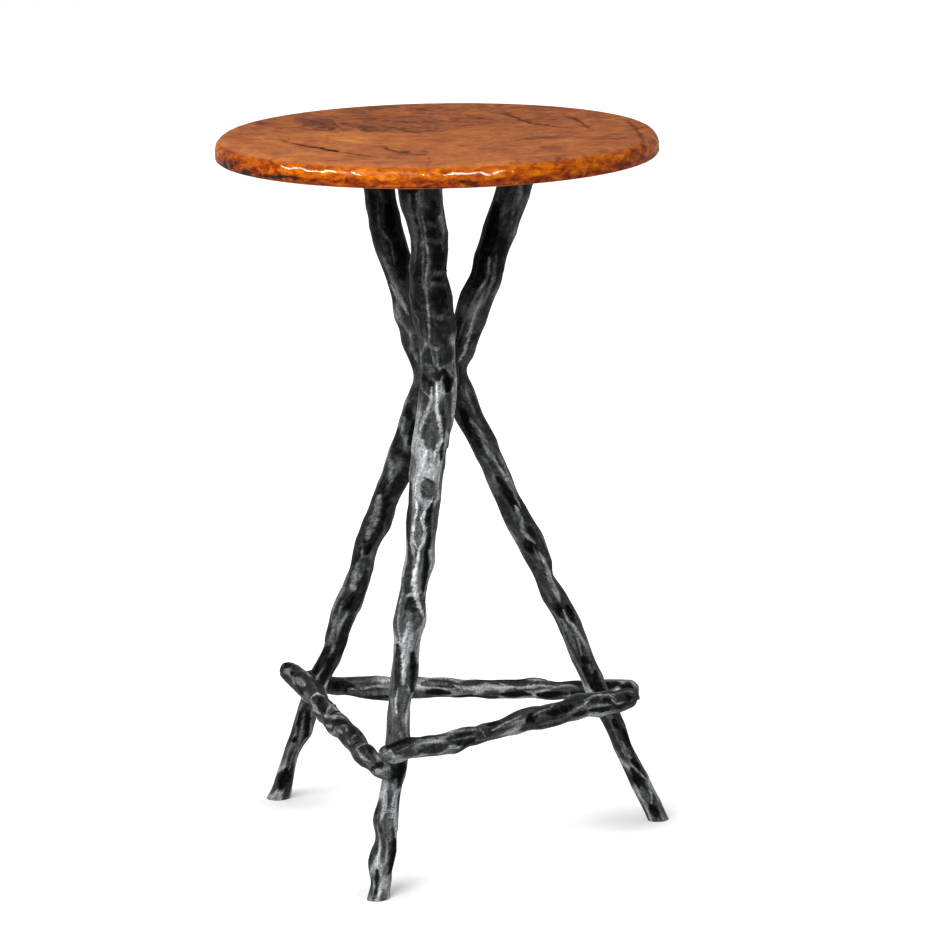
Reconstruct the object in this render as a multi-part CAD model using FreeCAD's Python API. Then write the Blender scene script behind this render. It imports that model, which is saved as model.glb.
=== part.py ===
"""Small round table: a thick wooden slab on an open tripod of hammered iron bars.

Each leg is one long bar. It rises from its foot to a waist, where the three bars are welded
together, bends there and splays out again to a round plate that is screwed under the slab.
Three shorter bars are welded to the outside of the legs as stretchers. Nothing moves.
Millimetres, +Z up, floor at Z = 0, origin on the floor under the middle of the slab.
The front leg points towards -Y.
"""
import FreeCAD, Part
import math
import os

Vec = FreeCAD.Vector

# Whole table
table_height = 609.6
waist_height = 407.0
overrun = 2.0

# Slab
top_diameter = 368.3
top_thickness = 19.05
top_upper_round = 11.0
top_lower_round = 3.0

# Plate under the slab, and its screws
plate_diameter = 212.0
plate_thickness = 5.0
screw_circle_diameter = 182.0
screw_diameter = 4.5
screw_length = 17.0
screw_tip_length = 5.0
screw_hole_clearance = 0.4
screw_head_diameter = 9.0
screw_head_height = 2.8
screw_slot_width = 1.4
screw_slot_depth = 1.2

# Legs: how far the foot, waist and head of each bar lie from the table's axis
front_foot_reach = 178.9
front_waist_reach = 15.3
front_head_reach = 62.0
front_leg_thickness = 30.0
left_foot_reach = 212.1
left_waist_reach = 15.0
left_head_reach = 72.0
left_leg_thickness = 26.0
right_foot_reach = 188.9
right_waist_reach = 14.0
right_head_reach = 76.0
right_leg_thickness = 26.0

# Stretchers: thickness, height of the axis at each leg, and how far each end runs past its leg
left_stretcher_thickness = 18.0
left_stretcher_height_at_left = 118.4
left_stretcher_height_at_front = 106.0
left_stretcher_end_at_left = 29.5
left_stretcher_end_at_front = 27.5
front_stretcher_thickness = 18.5
front_stretcher_height_at_front = 119.3
front_stretcher_height_at_right = 112.4
front_stretcher_end_at_front = 37.0
front_stretcher_end_at_right = 20.5
rear_stretcher_thickness = 17.0
rear_stretcher_height_at_left = 106.3
rear_stretcher_height_at_right = 115.4
rear_stretcher_end_at_left = 11.0
rear_stretcher_end_at_right = 29.0

# Welds
weld_root_gap = 1.4
stretcher_weld_diameter = 16.0
waist_weld_length = 46.0
waist_weld_diameter = 12.0
plate_weld_leg = 6.0
plate_weld_root_share = 0.6

# Compass bearings of each leg's foot, waist and head, in degrees from +X towards +Y
front_bearings_deg = (250.5, 262.0, 258.0)
left_bearings_deg = (135.0, 140.5, 137.5)
right_bearings_deg = (17.3, 41.5, 18.4)
screw_pair_spread_deg = 44.0

# Heights and radii that follow from the sizes above
plate_top = table_height - top_thickness
head_height = plate_top - plate_thickness
top_radius = top_diameter / 2
full_turn_deg = 360.0

# A hammered bar's section has eight corners, each a little off a true circle.
# From one station to the next the corners trade places, which leaves flat facets between them.
corner_count = 8
corner_shares = (1.06, 0.99, 1.05, 1.01, 1.07, 0.98, 1.04, 1.00)
corner_step = 3
facet_turn_share = 0.22

# Waist weld, end to end: share of its length from the middle, and of its radius
spindle_shares = ((-0.5, 0.0), (-0.28, 0.68), (0.0, 1.0), (0.28, 0.68), (0.5, 0.0))

# Legs, foot to waist and waist to head: share of the way up, sideways and depth wander of the
# bar's middle and its thickness, the last three as shares of the leg's thickness
front_lower_shares = (
    (0.00, 0.00, 0.00, 0.58), (0.03, 0.01, 0.02, 0.55), (0.07, -0.02, 0.03, 0.71),
    (0.11, 0.04, 0.00, 0.62), (0.15, -0.03, -0.04, 0.66), (0.20, 0.01, -0.02, 0.55),
    (0.26, 0.06, 0.00, 0.65), (0.30, 0.06, 0.00, 0.66), (0.36, -0.02, 0.04, 0.62),
    (0.42, 0.03, 0.02, 0.73), (0.48, -0.03, -0.03, 0.71), (0.53, -0.03, -0.04, 0.86),
    (0.60, 0.01, 0.00, 0.74), (0.64, 0.08, 0.03, 0.80), (0.71, 0.01, 0.02, 0.86),
    (0.78, 0.00, -0.02, 0.89), (0.85, -0.01, 0.00, 0.97), (0.92, 0.03, 0.00, 1.01),
    (1.00, 0.00, 0.00, 0.99),
)
front_upper_shares = (
    (0.15, 0.04, 0.00, 1.00), (0.26, 0.02, -0.02, 1.09), (0.38, -0.02, 0.00, 1.13),
    (0.50, -0.05, 0.03, 1.03), (0.61, 0.04, 0.02, 0.99), (0.73, 0.04, -0.03, 1.04),
    (0.86, -0.06, 0.00, 1.17), (1.00, -0.03, 0.00, 1.18),
)
left_lower_shares = (
    (0.00, 0.00, 0.00, 0.71), (0.05, -0.02, 0.00, 0.59), (0.11, -0.08, -0.05, 0.48),
    (0.16, 0.01, 0.00, 0.66), (0.22, -0.05, 0.03, 0.65), (0.28, -0.01, 0.00, 0.70),
    (0.37, 0.11, -0.03, 0.71), (0.42, 0.05, -0.05, 0.77), (0.48, 0.09, 0.00, 0.82),
    (0.54, 0.14, 0.04, 0.75), (0.59, 0.05, 0.03, 0.76), (0.65, 0.10, -0.02, 0.87),
    (0.70, 0.10, -0.06, 0.80), (0.76, 0.21, -0.02, 0.93), (0.81, 0.21, 0.03, 1.03),
    (0.87, 0.16, 0.02, 0.95), (0.92, 0.10, 0.00, 0.92), (1.00, 0.01, 0.00, 0.92),
)
left_upper_shares = (
    (0.11, -0.04, 0.00, 1.00), (0.22, -0.07, 0.02, 1.00), (0.34, -0.05, 0.04, 1.00),
    (0.45, -0.07, 0.00, 1.02), (0.56, -0.15, -0.04, 1.05), (0.67, -0.17, -0.03, 1.00),
    (0.78, -0.15, 0.00, 1.00), (1.00, 0.00, 0.00, 1.03),
)
right_lower_shares = (
    (0.00, 0.00, 0.00, 0.63), (0.04, 0.00, 0.02, 0.60), (0.09, -0.02, 0.03, 0.66),
    (0.15, -0.05, -0.02, 0.58), (0.23, -0.03, -0.03, 0.67), (0.28, -0.04, 0.00, 0.70),
    (0.34, -0.06, 0.03, 0.68), (0.39, -0.05, 0.04, 0.73), (0.45, 0.00, 0.00, 0.76),
    (0.50, -0.05, -0.04, 0.74), (0.55, -0.10, -0.02, 0.62), (0.58, -0.05, 0.00, 0.74),
    (0.63, -0.05, 0.03, 0.87), (0.69, -0.10, 0.04, 0.81), (0.76, -0.10, -0.02, 0.76),
    (0.85, -0.13, -0.03, 0.84), (0.90, -0.19, 0.00, 0.91), (0.95, -0.14, 0.00, 0.92),
    (1.00, -0.02, 0.00, 0.88),
)
right_upper_shares = (
    (0.11, -0.01, 0.00, 0.98), (0.22, 0.00, 0.03, 1.02), (0.39, 0.01, 0.02, 1.07),
    (0.45, 0.03, -0.02, 0.97), (0.56, 0.03, -0.04, 1.03), (0.67, 0.02, 0.00, 1.07),
    (0.78, 0.01, 0.03, 1.10), (1.00, 0.00, 0.00, 1.08),
)

# Stretchers, end to end: share of the length, lift and outward wander of the bar's middle, and its
# height and depth, the last four as shares of the stretcher's thickness
left_stretcher_shares = (
    (0.000, 0.00, 0.14, 0.52, 0.50), (0.010, 0.00, 0.13, 0.84, 0.80), (0.035, 0.00, 0.10, 0.98, 0.98),
    (0.100, 0.02, 0.00, 1.02, 1.00), (0.180, 0.08, 0.00, 1.04, 1.00), (0.270, 0.10, -0.04, 0.98, 1.02),
    (0.340, 0.03, 0.02, 1.02, 0.96), (0.420, -0.06, 0.06, 1.00, 1.06), (0.500, -0.06, 0.02, 1.02, 0.96),
    (0.580, -0.04, 0.00, 0.94, 1.00), (0.660, -0.07, 0.00, 1.02, 0.96), (0.750, -0.10, 0.02, 0.96, 1.00),
    (0.830, -0.06, 0.03, 1.02, 0.92), (0.910, -0.02, 0.00, 1.00, 0.70), (0.975, 0.00, 0.00, 0.92, 0.62),
    (1.000, 0.00, 0.00, 0.72, 0.50),
)
front_stretcher_shares = (
    (0.000, 0.00, 0.00, 0.54, 0.56), (0.012, 0.00, 0.00, 0.76, 0.80), (0.050, 0.00, 0.00, 0.84, 0.92),
    (0.110, -0.02, 0.00, 0.90, 1.00), (0.190, -0.08, 0.03, 0.96, 0.98), (0.260, -0.11, 0.05, 1.00, 0.92),
    (0.340, -0.06, 0.02, 0.88, 1.00), (0.420, -0.02, -0.03, 0.82, 1.02), (0.500, 0.06, -0.04, 0.98, 0.96),
    (0.580, 0.13, 0.00, 1.08, 0.94), (0.650, 0.14, 0.04, 1.00, 1.02), (0.730, 0.18, 0.02, 1.08, 1.04),
    (0.800, 0.13, 0.00, 1.06, 0.98), (0.870, 0.05, 0.00, 1.08, 1.00), (0.930, 0.00, 0.00, 1.02, 1.00),
    (0.970, 0.00, 0.00, 0.94, 0.94), (0.990, 0.00, 0.00, 0.76, 0.76), (1.000, 0.00, 0.00, 0.46, 0.46),
)
rear_stretcher_shares = (
    (0.000, 0.00, 0.00, 0.60, 0.60), (0.015, 0.00, 0.00, 0.84, 0.88), (0.050, 0.00, 0.00, 0.90, 1.00),
    (0.110, -0.01, 0.00, 0.90, 0.98), (0.170, -0.10, 0.03, 1.12, 1.02), (0.240, -0.13, 0.04, 1.18, 0.96),
    (0.310, -0.10, 0.02, 1.12, 1.00), (0.380, -0.06, 0.00, 1.02, 1.04), (0.450, -0.05, -0.04, 0.98, 1.04),
    (0.530, -0.07, -0.02, 0.90, 0.98), (0.610, -0.05, 0.02, 0.94, 1.00), (0.690, -0.03, 0.04, 0.98, 0.96),
    (0.770, -0.06, 0.02, 0.90, 1.02), (0.850, -0.05, 0.00, 0.96, 1.00), (0.910, 0.00, 0.00, 1.04, 1.02),
    (0.960, 0.00, 0.00, 1.02, 1.00), (0.988, 0.00, 0.00, 0.82, 0.80), (1.000, 0.00, 0.00, 0.48, 0.46),
)


def polar(reach, bearing_deg, height):
    """Point at a reach from the table's axis, a bearing and a height."""
    bearing = math.radians(bearing_deg)
    return Vec(reach * math.cos(bearing), reach * math.sin(bearing), height)


def between(start, end, share):
    """Point or number a share of the way from start to end."""
    return start + (end - start) * share


def octagon(centre, across, along, station):
    """Hammered eight-cornered section about a centre, with its two half axes given as vectors."""
    points = []
    for corner in range(corner_count):
        turn = corner + facet_turn_share * (station % 2)
        angle = math.radians(full_turn_deg * turn / corner_count)
        share = corner_shares[(corner + corner_step * station) % corner_count]
        points.append(centre + across * (share * math.cos(angle)) + along * (share * math.sin(angle)))
    return Part.makePolygon(points + points[:1])


def main_solid(shape):
    """The largest solid of a cut, without the slivers that a cut between rough bars can leave."""
    return max(shape.Solids, key=lambda solid: solid.Volume)


def cut_by(shape, tools):
    """A solid less every tool."""
    for tool in tools:
        shape = main_solid(shape.cut(tool))
    return shape


def leg_stations(foot, waist, head, thickness, lower_shares, upper_shares):
    """Stations of a bent bar, foot to head: middle, half thickness and the run that it lies on."""
    stations = []
    for start, end, table in ((foot, waist, lower_shares), (waist, head, upper_shares)):
        for way_share, side_share, depth_share, thickness_share in table:
            wander = Vec(side_share * thickness, depth_share * thickness, 0)
            middle = between(start, end, way_share) + wander
            stations.append((middle, thickness * thickness_share / 2, end - start))
    return stations


def leg_at(stations, height):
    """Middle and half thickness of a leg at a height, straight between its stations."""
    for (low, low_half, _), (high, high_half, _) in zip(stations, stations[1:]):
        if low.z <= height <= high.z:
            share = (height - low.z) / (high.z - low.z)
            return between(low, high, share), between(low_half, high_half, share)
    return stations[-1][0], stations[-1][1]


def leg_bar(stations):
    """A leg as a loft through level sections, each longer along the lean than across it."""
    wires = []
    for number, (middle, half, run) in enumerate(stations):
        lean = Vec(run.x, run.y, 0).normalize()
        side = Vec(-lean.y, lean.x, 0)
        wires.append(octagon(middle, side * half, lean * (half * run.Length / run.z), number))
    return Part.makeLoft(wires, True, True)


def table_value(table, share, column):
    """A column of a stretcher's table at a share of its length, straight between its rows."""
    for low, high in zip(table, table[1:]):
        if low[0] <= share <= high[0]:
            return between(low[column], high[column], (share - low[0]) / (high[0] - low[0]))
    return table[-1][column]


def stretcher_axis(spec):
    """Ends, outward direction and the two seats of a stretcher that lies outside its two legs."""
    start_leg = legs[spec["start_leg"]]
    end_leg = legs[spec["end_leg"]]
    start, start_half = leg_at(start_leg, spec["start_height"])
    end, end_half = leg_at(end_leg, spec["end_height"])
    flat = Vec(end.x - start.x, end.y - start.y, 0)
    outward = Vec(flat.y, -flat.x, 0).normalize()
    length = (end - start).Length + spec["start_end"] + spec["end_end"]
    half = spec["thickness"] / 2
    start_depth = half * table_value(spec["shares"], spec["start_end"] / length, 4)
    end_depth = half * table_value(spec["shares"], 1 - spec["end_end"] / length, 4)
    seat_start = start + outward * (start_half + start_depth + weld_root_gap)
    seat_end = end + outward * (end_half + end_depth + weld_root_gap)
    along = (seat_end - seat_start).normalize()
    seats = ((spec["start_leg"], start, seat_start), (spec["end_leg"], end, seat_end))
    return seat_start - along * spec["start_end"], seat_end + along * spec["end_end"], outward, seats


def stretcher_bar(spec):
    """A stretcher as a loft through sections square to its axis."""
    start, end, outward, _ = stretcher_axis(spec)
    along = (end - start).normalize()
    upward = outward.cross(along)
    if upward.z < 0:
        upward = -upward
    thickness = spec["thickness"]
    wires = []
    for number, (way_share, lift_share, out_share, tall_share, deep_share) in enumerate(spec["shares"]):
        wander = upward * (lift_share * thickness) + outward * (out_share * thickness)
        middle = between(start, end, way_share) + wander
        wires.append(octagon(middle, outward * (deep_share * thickness / 2),
                             upward * (tall_share * thickness / 2), number))
    return Part.makeLoft(wires, True, True)


def slab():
    """Round slab turned from a profile: a deep round above, a small one below."""
    high = table_height
    low = plate_top
    upper = top_upper_round
    lower = top_lower_round
    ease_share = math.sqrt(0.5)
    axis_low = Vec(0, 0, low)
    under = Vec(top_radius - lower, 0, low)
    under_mid = Vec(top_radius - lower * (1 - ease_share), 0, low + lower * (1 - ease_share))
    rim_low = Vec(top_radius, 0, low + lower)
    rim_high = Vec(top_radius, 0, high - upper)
    upper_mid = Vec(top_radius - upper * (1 - ease_share), 0, high - upper * (1 - ease_share))
    upper_end = Vec(top_radius - upper, 0, high)
    axis_high = Vec(0, 0, high)
    edges = [
        Part.makeLine(axis_low, under),
        Part.Arc(under, under_mid, rim_low).toShape(),
        Part.makeLine(rim_low, rim_high),
        Part.Arc(rim_high, upper_mid, upper_end).toShape(),
        Part.makeLine(upper_end, axis_high),
        Part.makeLine(axis_high, axis_low),
    ]
    return Part.Face(Part.Wire(edges)).revolve(Vec(0, 0, 0), Vec(0, 0, 1), full_turn_deg)


def screw_places():
    """Two screws in each of the three gaps between the legs' heads, on one circle."""
    bearings = sorted(bearings_deg[2] for bearings_deg in leg_bearings_deg)
    places = []
    for here, after in zip(bearings, bearings[1:] + [bearings[0] + full_turn_deg]):
        for side in (-1, 1):
            bearing = (here + after) / 2 + side * screw_pair_spread_deg / 2
            places.append(polar(screw_circle_diameter / 2, bearing, head_height))
    return places


def screw_shank(place):
    """Plain shank and pointed tip of one screw, upwards from the underside of the plate."""
    radius = screw_diameter / 2
    straight = screw_length - screw_tip_length
    shank = Part.makeCylinder(radius, straight, place)
    tip = Part.makeCone(radius, 0, screw_tip_length, place + Vec(0, 0, straight))
    return shank.fuse(tip).removeSplitter()


def screw(place):
    """One slotted round-head screw, its head against the underside of the plate."""
    dome_radius = (screw_head_diameter ** 2 / 4 + screw_head_height ** 2) / (2 * screw_head_height)
    dome = Part.makeSphere(dome_radius, place + Vec(0, 0, dome_radius - screw_head_height))
    head_base = place - Vec(0, 0, screw_head_height)
    below = Part.makeCylinder(screw_head_diameter / 2, screw_head_height, head_base)
    slot_corner = place - Vec(screw_head_diameter / 2, screw_slot_width / 2, screw_head_height)
    slot = Part.makeBox(screw_head_diameter, screw_slot_width, screw_slot_depth, slot_corner)
    head = dome.common(below).cut(slot)
    return main_solid(head.fuse(screw_shank(place)).removeSplitter())


def stretcher_weld(leg_middle, seat, bars):
    """Weld metal between a leg and a stretcher: a round plug from middle to middle, less the bars."""
    reach = seat - leg_middle
    plug = Part.makeCylinder(stretcher_weld_diameter / 2, reach.Length, leg_middle, reach)
    return cut_by(plug, bars)


def waist_weld(first, second, bars):
    """Weld bead in the outer groove between two legs at the waist: a long spindle, less the bars."""
    middle = (first + second) * 0.5
    outward = Vec(middle.x, middle.y, 0).normalize()
    radius = waist_weld_diameter / 2
    root = middle + outward * radius
    points = []
    for length_share, radius_share in spindle_shares:
        points.append(root + Vec(radius_share * radius, 0, length_share * waist_weld_length))
    outline = Part.makePolygon(points + points[:1])
    return cut_by(Part.Face(outline).revolve(root, Vec(0, 0, 1), full_turn_deg), bars)


def plate_weld(head, half, bar):
    """Fillet weld round the head of a leg, against the underside of the plate, from a root inside the bar."""
    root = half * plate_weld_root_share
    reach = half + plate_weld_leg
    cone = Part.makeCone(root, reach, reach - root, Vec(head.x, head.y, head_height - reach + root))
    return cut_by(cone, [bar])


# Legs: stations first, because the stretchers and welds take their places from them
leg_bearings_deg = (front_bearings_deg, left_bearings_deg, right_bearings_deg)
leg_reaches = (
    (front_foot_reach, front_waist_reach, front_head_reach),
    (left_foot_reach, left_waist_reach, left_head_reach),
    (right_foot_reach, right_waist_reach, right_head_reach),
)
leg_thicknesses = (front_leg_thickness, left_leg_thickness, right_leg_thickness)
leg_tables = (
    (front_lower_shares, front_upper_shares),
    (left_lower_shares, left_upper_shares),
    (right_lower_shares, right_upper_shares),
)
leg_names = ("front", "left", "right")
leg_heights = (0, waist_height, head_height)
legs = {}
for name, reaches, bearings, thickness, tables in zip(
        leg_names, leg_reaches, leg_bearings_deg, leg_thicknesses, leg_tables):
    foot, waist, head = [polar(*place) for place in zip(reaches, bearings, leg_heights)]
    legs[name] = leg_stations(foot, waist, head, thickness, *tables)

# Where two legs meet at the waist, the later one is cut to the earlier one
nodes = {}
leg_bars = []
for name in leg_names:
    bar = cut_by(leg_bar(legs[name]), leg_bars)
    leg_bars.append(bar)
    nodes["leg_" + name] = bar

# Stretchers: each is cut to the legs and to the stretchers that were put on before it
stretchers = {
    "stretcher_front": {
        "start_leg": "front", "start_height": front_stretcher_height_at_front,
        "start_end": front_stretcher_end_at_front,
        "end_leg": "right", "end_height": front_stretcher_height_at_right,
        "end_end": front_stretcher_end_at_right,
        "thickness": front_stretcher_thickness, "shares": front_stretcher_shares,
    },
    "stretcher_left": {
        "start_leg": "left", "start_height": left_stretcher_height_at_left,
        "start_end": left_stretcher_end_at_left,
        "end_leg": "front", "end_height": left_stretcher_height_at_front,
        "end_end": left_stretcher_end_at_front,
        "thickness": left_stretcher_thickness, "shares": left_stretcher_shares,
    },
    "stretcher_rear": {
        "start_leg": "right", "start_height": rear_stretcher_height_at_right,
        "start_end": rear_stretcher_end_at_right,
        "end_leg": "left", "end_height": rear_stretcher_height_at_left,
        "end_end": rear_stretcher_end_at_left,
        "thickness": rear_stretcher_thickness,
        "shares": [(1 - row[0],) + row[1:] for row in reversed(rear_stretcher_shares)],
    },
}
stretcher_bars = []
for name, spec in stretchers.items():
    bar = cut_by(stretcher_bar(spec), leg_bars + stretcher_bars)
    stretcher_bars.append(bar)
    nodes[name] = bar

# Welds: two on each stretcher, three at the waist and one round each head
all_bars = leg_bars + stretcher_bars
for name, spec in stretchers.items():
    for leg_name, leg_middle, seat in stretcher_axis(spec)[3]:
        nodes[f"{name}_weld_{leg_name}"] = stretcher_weld(leg_middle, seat, all_bars)
for first, second in (("front", "left"), ("left", "right"), ("right", "front")):
    first_middle = leg_at(legs[first], waist_height)[0]
    second_middle = leg_at(legs[second], waist_height)[0]
    nodes[f"waist_weld_{first}_{second}"] = waist_weld(first_middle, second_middle, leg_bars)
for name, bar in zip(leg_names, leg_bars):
    head, half, _ = legs[name][-1]
    nodes["plate_weld_" + name] = plate_weld(head, half, bar)

# Plate, screws and slab
places = screw_places()
plate = Part.makeCylinder(plate_diameter / 2, plate_thickness, Vec(0, 0, head_height))
hole_radius = screw_diameter / 2 + screw_hole_clearance
for place in places:
    hole_base = place - Vec(0, 0, overrun)
    plate = plate.cut(Part.makeCylinder(hole_radius, plate_thickness + 2 * overrun, hole_base))
nodes["top_plate"] = plate
nodes["plate_screws"] = Part.makeCompound([screw(place) for place in places])
top = slab()
for place in places:
    top = top.cut(screw_shank(place))
nodes["table_top"] = main_solid(top)

os.makedirs("parts", exist_ok=True)
for name, shape in nodes.items():
    shape.exportStep(f"parts/{name}.step")
    print(f"{name}: valid {shape.isValid()}, solids {len(shape.Solids)}, volume {shape.Volume:.0f} mm3")
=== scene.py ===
import math
import bpy
import numpy as np
from mathutils import Matrix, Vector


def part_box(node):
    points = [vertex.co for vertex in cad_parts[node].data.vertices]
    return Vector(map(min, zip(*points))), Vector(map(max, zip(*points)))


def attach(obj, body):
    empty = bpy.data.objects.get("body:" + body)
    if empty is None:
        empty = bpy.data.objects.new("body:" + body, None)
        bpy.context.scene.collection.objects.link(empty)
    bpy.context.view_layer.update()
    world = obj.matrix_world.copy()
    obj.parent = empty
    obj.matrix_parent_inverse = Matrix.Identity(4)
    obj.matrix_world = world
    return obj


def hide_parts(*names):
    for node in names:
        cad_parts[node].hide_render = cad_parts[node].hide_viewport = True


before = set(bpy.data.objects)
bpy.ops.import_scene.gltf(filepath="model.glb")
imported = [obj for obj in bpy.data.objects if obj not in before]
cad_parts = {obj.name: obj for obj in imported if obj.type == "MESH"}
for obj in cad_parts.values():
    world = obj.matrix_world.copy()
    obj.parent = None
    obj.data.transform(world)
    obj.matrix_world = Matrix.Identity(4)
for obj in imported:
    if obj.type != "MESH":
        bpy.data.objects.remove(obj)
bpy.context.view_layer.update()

# Camera of the picture, 4.4 m in front of the table and 1.25 m up, looking a little down.
# It comes first, because hammer marks in the iron and checks in the wood are placed by their
# pixels in its square frame.
photo_side_px = 950
focal_px = 5350.8
axis_px = np.array((442.78, 475.0))
sensor_width_mm = 36.0
camera_place = np.array((0.0, -4.4, 1.2493))
camera_pitch = math.radians(11.937)
camera_roll = math.radians(-1.032)
camera_sight = 50.0

look = np.array((0.0, math.cos(camera_pitch), -math.sin(camera_pitch)))
level_right = np.array((1.0, 0.0, 0.0))
level_up = np.cross(level_right, look)
picture_right = math.cos(camera_roll) * level_right + math.sin(camera_roll) * level_up
picture_up = np.cross(picture_right, look)


def picture_pixels(points):
    """Pixel of each point: sideways and upward offset from the camera's axis, over its depth."""
    offset = points - camera_place
    depth = offset @ look
    sideways = axis_px[0] + focal_px * (offset @ picture_right) / depth
    downward = axis_px[1] - focal_px * (offset @ picture_up) / depth
    return np.stack((sideways, downward), axis=-1)


def point_at_height(pixel, height):
    """Where the camera's ray through a pixel meets the level plane at a height."""
    sideways, downward = np.asarray(pixel, float) - axis_px
    ray = look * focal_px + picture_right * sideways - picture_up * downward
    return camera_place + ray * (height - camera_place[2]) / ray[2]


def turned_matrix(right, up, back, place):
    """Matrix of an object at a place, with its own axes pointing right, up and back."""
    turn = np.eye(4)
    turn[:3] = np.stack((right, up, back, place), axis=1)
    return Matrix(turn.tolist())


def add_object(name, data):
    """New object in the scene."""
    made = bpy.data.objects.new(name, data)
    bpy.context.scene.collection.objects.link(made)
    return made


lens = bpy.data.cameras.new("camera")
lens.sensor_width = sensor_width_mm
lens.lens = focal_px / photo_side_px * sensor_width_mm
lens.shift_x = 0.5 - axis_px[0] / photo_side_px
lens.clip_end = camera_sight
camera = add_object("camera", lens)
camera.matrix_world = turned_matrix(picture_right, picture_up, -look, camera_place)
bpy.context.scene.camera = camera

# Legs: three long bars of black iron, forged hot, bent at the waist and splayed to the top.
# The hammer left flat marks with ridges between them, and the ridges are rubbed to bright metal.
# Each stands on the flat end of the bar.
waist_height = 0.407
head_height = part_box("top_plate")[0].z
leg_rings = 640
leg_spokes = 88
leg_seed = 410

# Foot, waist and head of each leg: reach from the table's axis, and bearing from +X towards +Y
leg_sizes = {
    "front": {"thickness": 0.030, "reaches": (0.1789, 0.0153, 0.062), "bearings_deg": (250.5, 262.0, 258.0)},
    "left": {"thickness": 0.026, "reaches": (0.2121, 0.015, 0.072), "bearings_deg": (135.0, 140.5, 137.5)},
    "right": {"thickness": 0.026, "reaches": (0.1889, 0.014, 0.076), "bearings_deg": (17.3, 41.5, 18.4)},
}

# Share of the way up from foot to waist or from waist to head, sideways and depth wander of the
# bar's middle, and its thickness, the last three as shares of the leg's thickness
front_lower_shares = (
    (0.00, 0.00, 0.00, 0.58), (0.03, 0.01, 0.02, 0.55), (0.07, -0.02, 0.03, 0.71),
    (0.11, 0.04, 0.00, 0.62), (0.15, -0.03, -0.04, 0.66), (0.20, 0.01, -0.02, 0.55),
    (0.26, 0.06, 0.00, 0.65), (0.30, 0.06, 0.00, 0.66), (0.36, -0.02, 0.04, 0.62),
    (0.42, 0.03, 0.02, 0.73), (0.48, -0.03, -0.03, 0.71), (0.53, -0.03, -0.04, 0.86),
    (0.60, 0.01, 0.00, 0.74), (0.64, 0.08, 0.03, 0.80), (0.71, 0.01, 0.02, 0.86),
    (0.78, 0.00, -0.02, 0.89), (0.85, -0.01, 0.00, 0.97), (0.92, 0.03, 0.00, 1.01),
    (1.00, 0.00, 0.00, 0.99),
)
front_upper_shares = (
    (0.15, 0.04, 0.00, 1.00), (0.26, 0.02, -0.02, 1.09), (0.38, -0.02, 0.00, 1.13),
    (0.50, -0.05, 0.03, 1.03), (0.61, 0.04, 0.02, 0.99), (0.73, 0.04, -0.03, 1.04),
    (0.86, -0.06, 0.00, 1.17), (1.00, -0.03, 0.00, 1.18),
)
left_lower_shares = (
    (0.00, 0.00, 0.00, 0.71), (0.05, -0.02, 0.00, 0.59), (0.11, -0.08, -0.05, 0.48),
    (0.16, 0.01, 0.00, 0.66), (0.22, -0.05, 0.03, 0.65), (0.28, -0.01, 0.00, 0.70),
    (0.37, 0.11, -0.03, 0.71), (0.42, 0.05, -0.05, 0.77), (0.48, 0.09, 0.00, 0.82),
    (0.54, 0.14, 0.04, 0.75), (0.59, 0.05, 0.03, 0.76), (0.65, 0.10, -0.02, 0.87),
    (0.70, 0.10, -0.06, 0.80), (0.76, 0.21, -0.02, 0.93), (0.81, 0.21, 0.03, 1.03),
    (0.87, 0.16, 0.02, 0.95), (0.92, 0.10, 0.00, 0.92), (1.00, 0.01, 0.00, 0.92),
)
left_upper_shares = (
    (0.11, -0.04, 0.00, 1.00), (0.22, -0.07, 0.02, 1.00), (0.34, -0.05, 0.04, 1.00),
    (0.45, -0.07, 0.00, 1.02), (0.56, -0.15, -0.04, 1.05), (0.67, -0.17, -0.03, 1.00),
    (0.78, -0.15, 0.00, 1.00), (1.00, 0.00, 0.00, 1.03),
)
right_lower_shares = (
    (0.00, 0.00, 0.00, 0.63), (0.04, 0.00, 0.02, 0.60), (0.09, -0.02, 0.03, 0.66),
    (0.15, -0.05, -0.02, 0.58), (0.23, -0.03, -0.03, 0.67), (0.28, -0.04, 0.00, 0.70),
    (0.34, -0.06, 0.03, 0.68), (0.39, -0.05, 0.04, 0.73), (0.45, 0.00, 0.00, 0.76),
    (0.50, -0.05, -0.04, 0.74), (0.55, -0.10, -0.02, 0.62), (0.58, -0.05, 0.00, 0.74),
    (0.63, -0.05, 0.03, 0.87), (0.69, -0.10, 0.04, 0.81), (0.76, -0.10, -0.02, 0.76),
    (0.85, -0.13, -0.03, 0.84), (0.90, -0.19, 0.00, 0.91), (0.95, -0.14, 0.00, 0.92),
    (1.00, -0.02, 0.00, 0.88),
)
right_upper_shares = (
    (0.11, -0.01, 0.00, 0.98), (0.22, 0.00, 0.03, 1.02), (0.39, 0.01, 0.02, 1.07),
    (0.45, 0.03, -0.02, 0.97), (0.56, 0.03, -0.04, 1.03), (0.67, 0.02, 0.00, 1.07),
    (0.78, 0.01, 0.03, 1.10), (1.00, 0.00, 0.00, 1.08),
)
leg_shares = {
    "front": (front_lower_shares, front_upper_shares),
    "left": (left_lower_shares, left_upper_shares),
    "right": (right_lower_shares, right_upper_shares),
}

# Hammer marks: lanes of blows round the bar, their pitch and half length along it, how far lanes wander
# round it, and how far the bar stands proud of its drawn size, as a share of its half thickness
blow_lanes = 5
blow_pitch = 0.027
blow_length = 0.021
lane_wander = 0.45
lane_wave = 0.21
proud_share = 0.10

# Knobs left between the blows: their pitch along a bar, and how far they stand out on a leg
knob_pitch = 0.055
leg_knob_size = 0.00025

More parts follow.
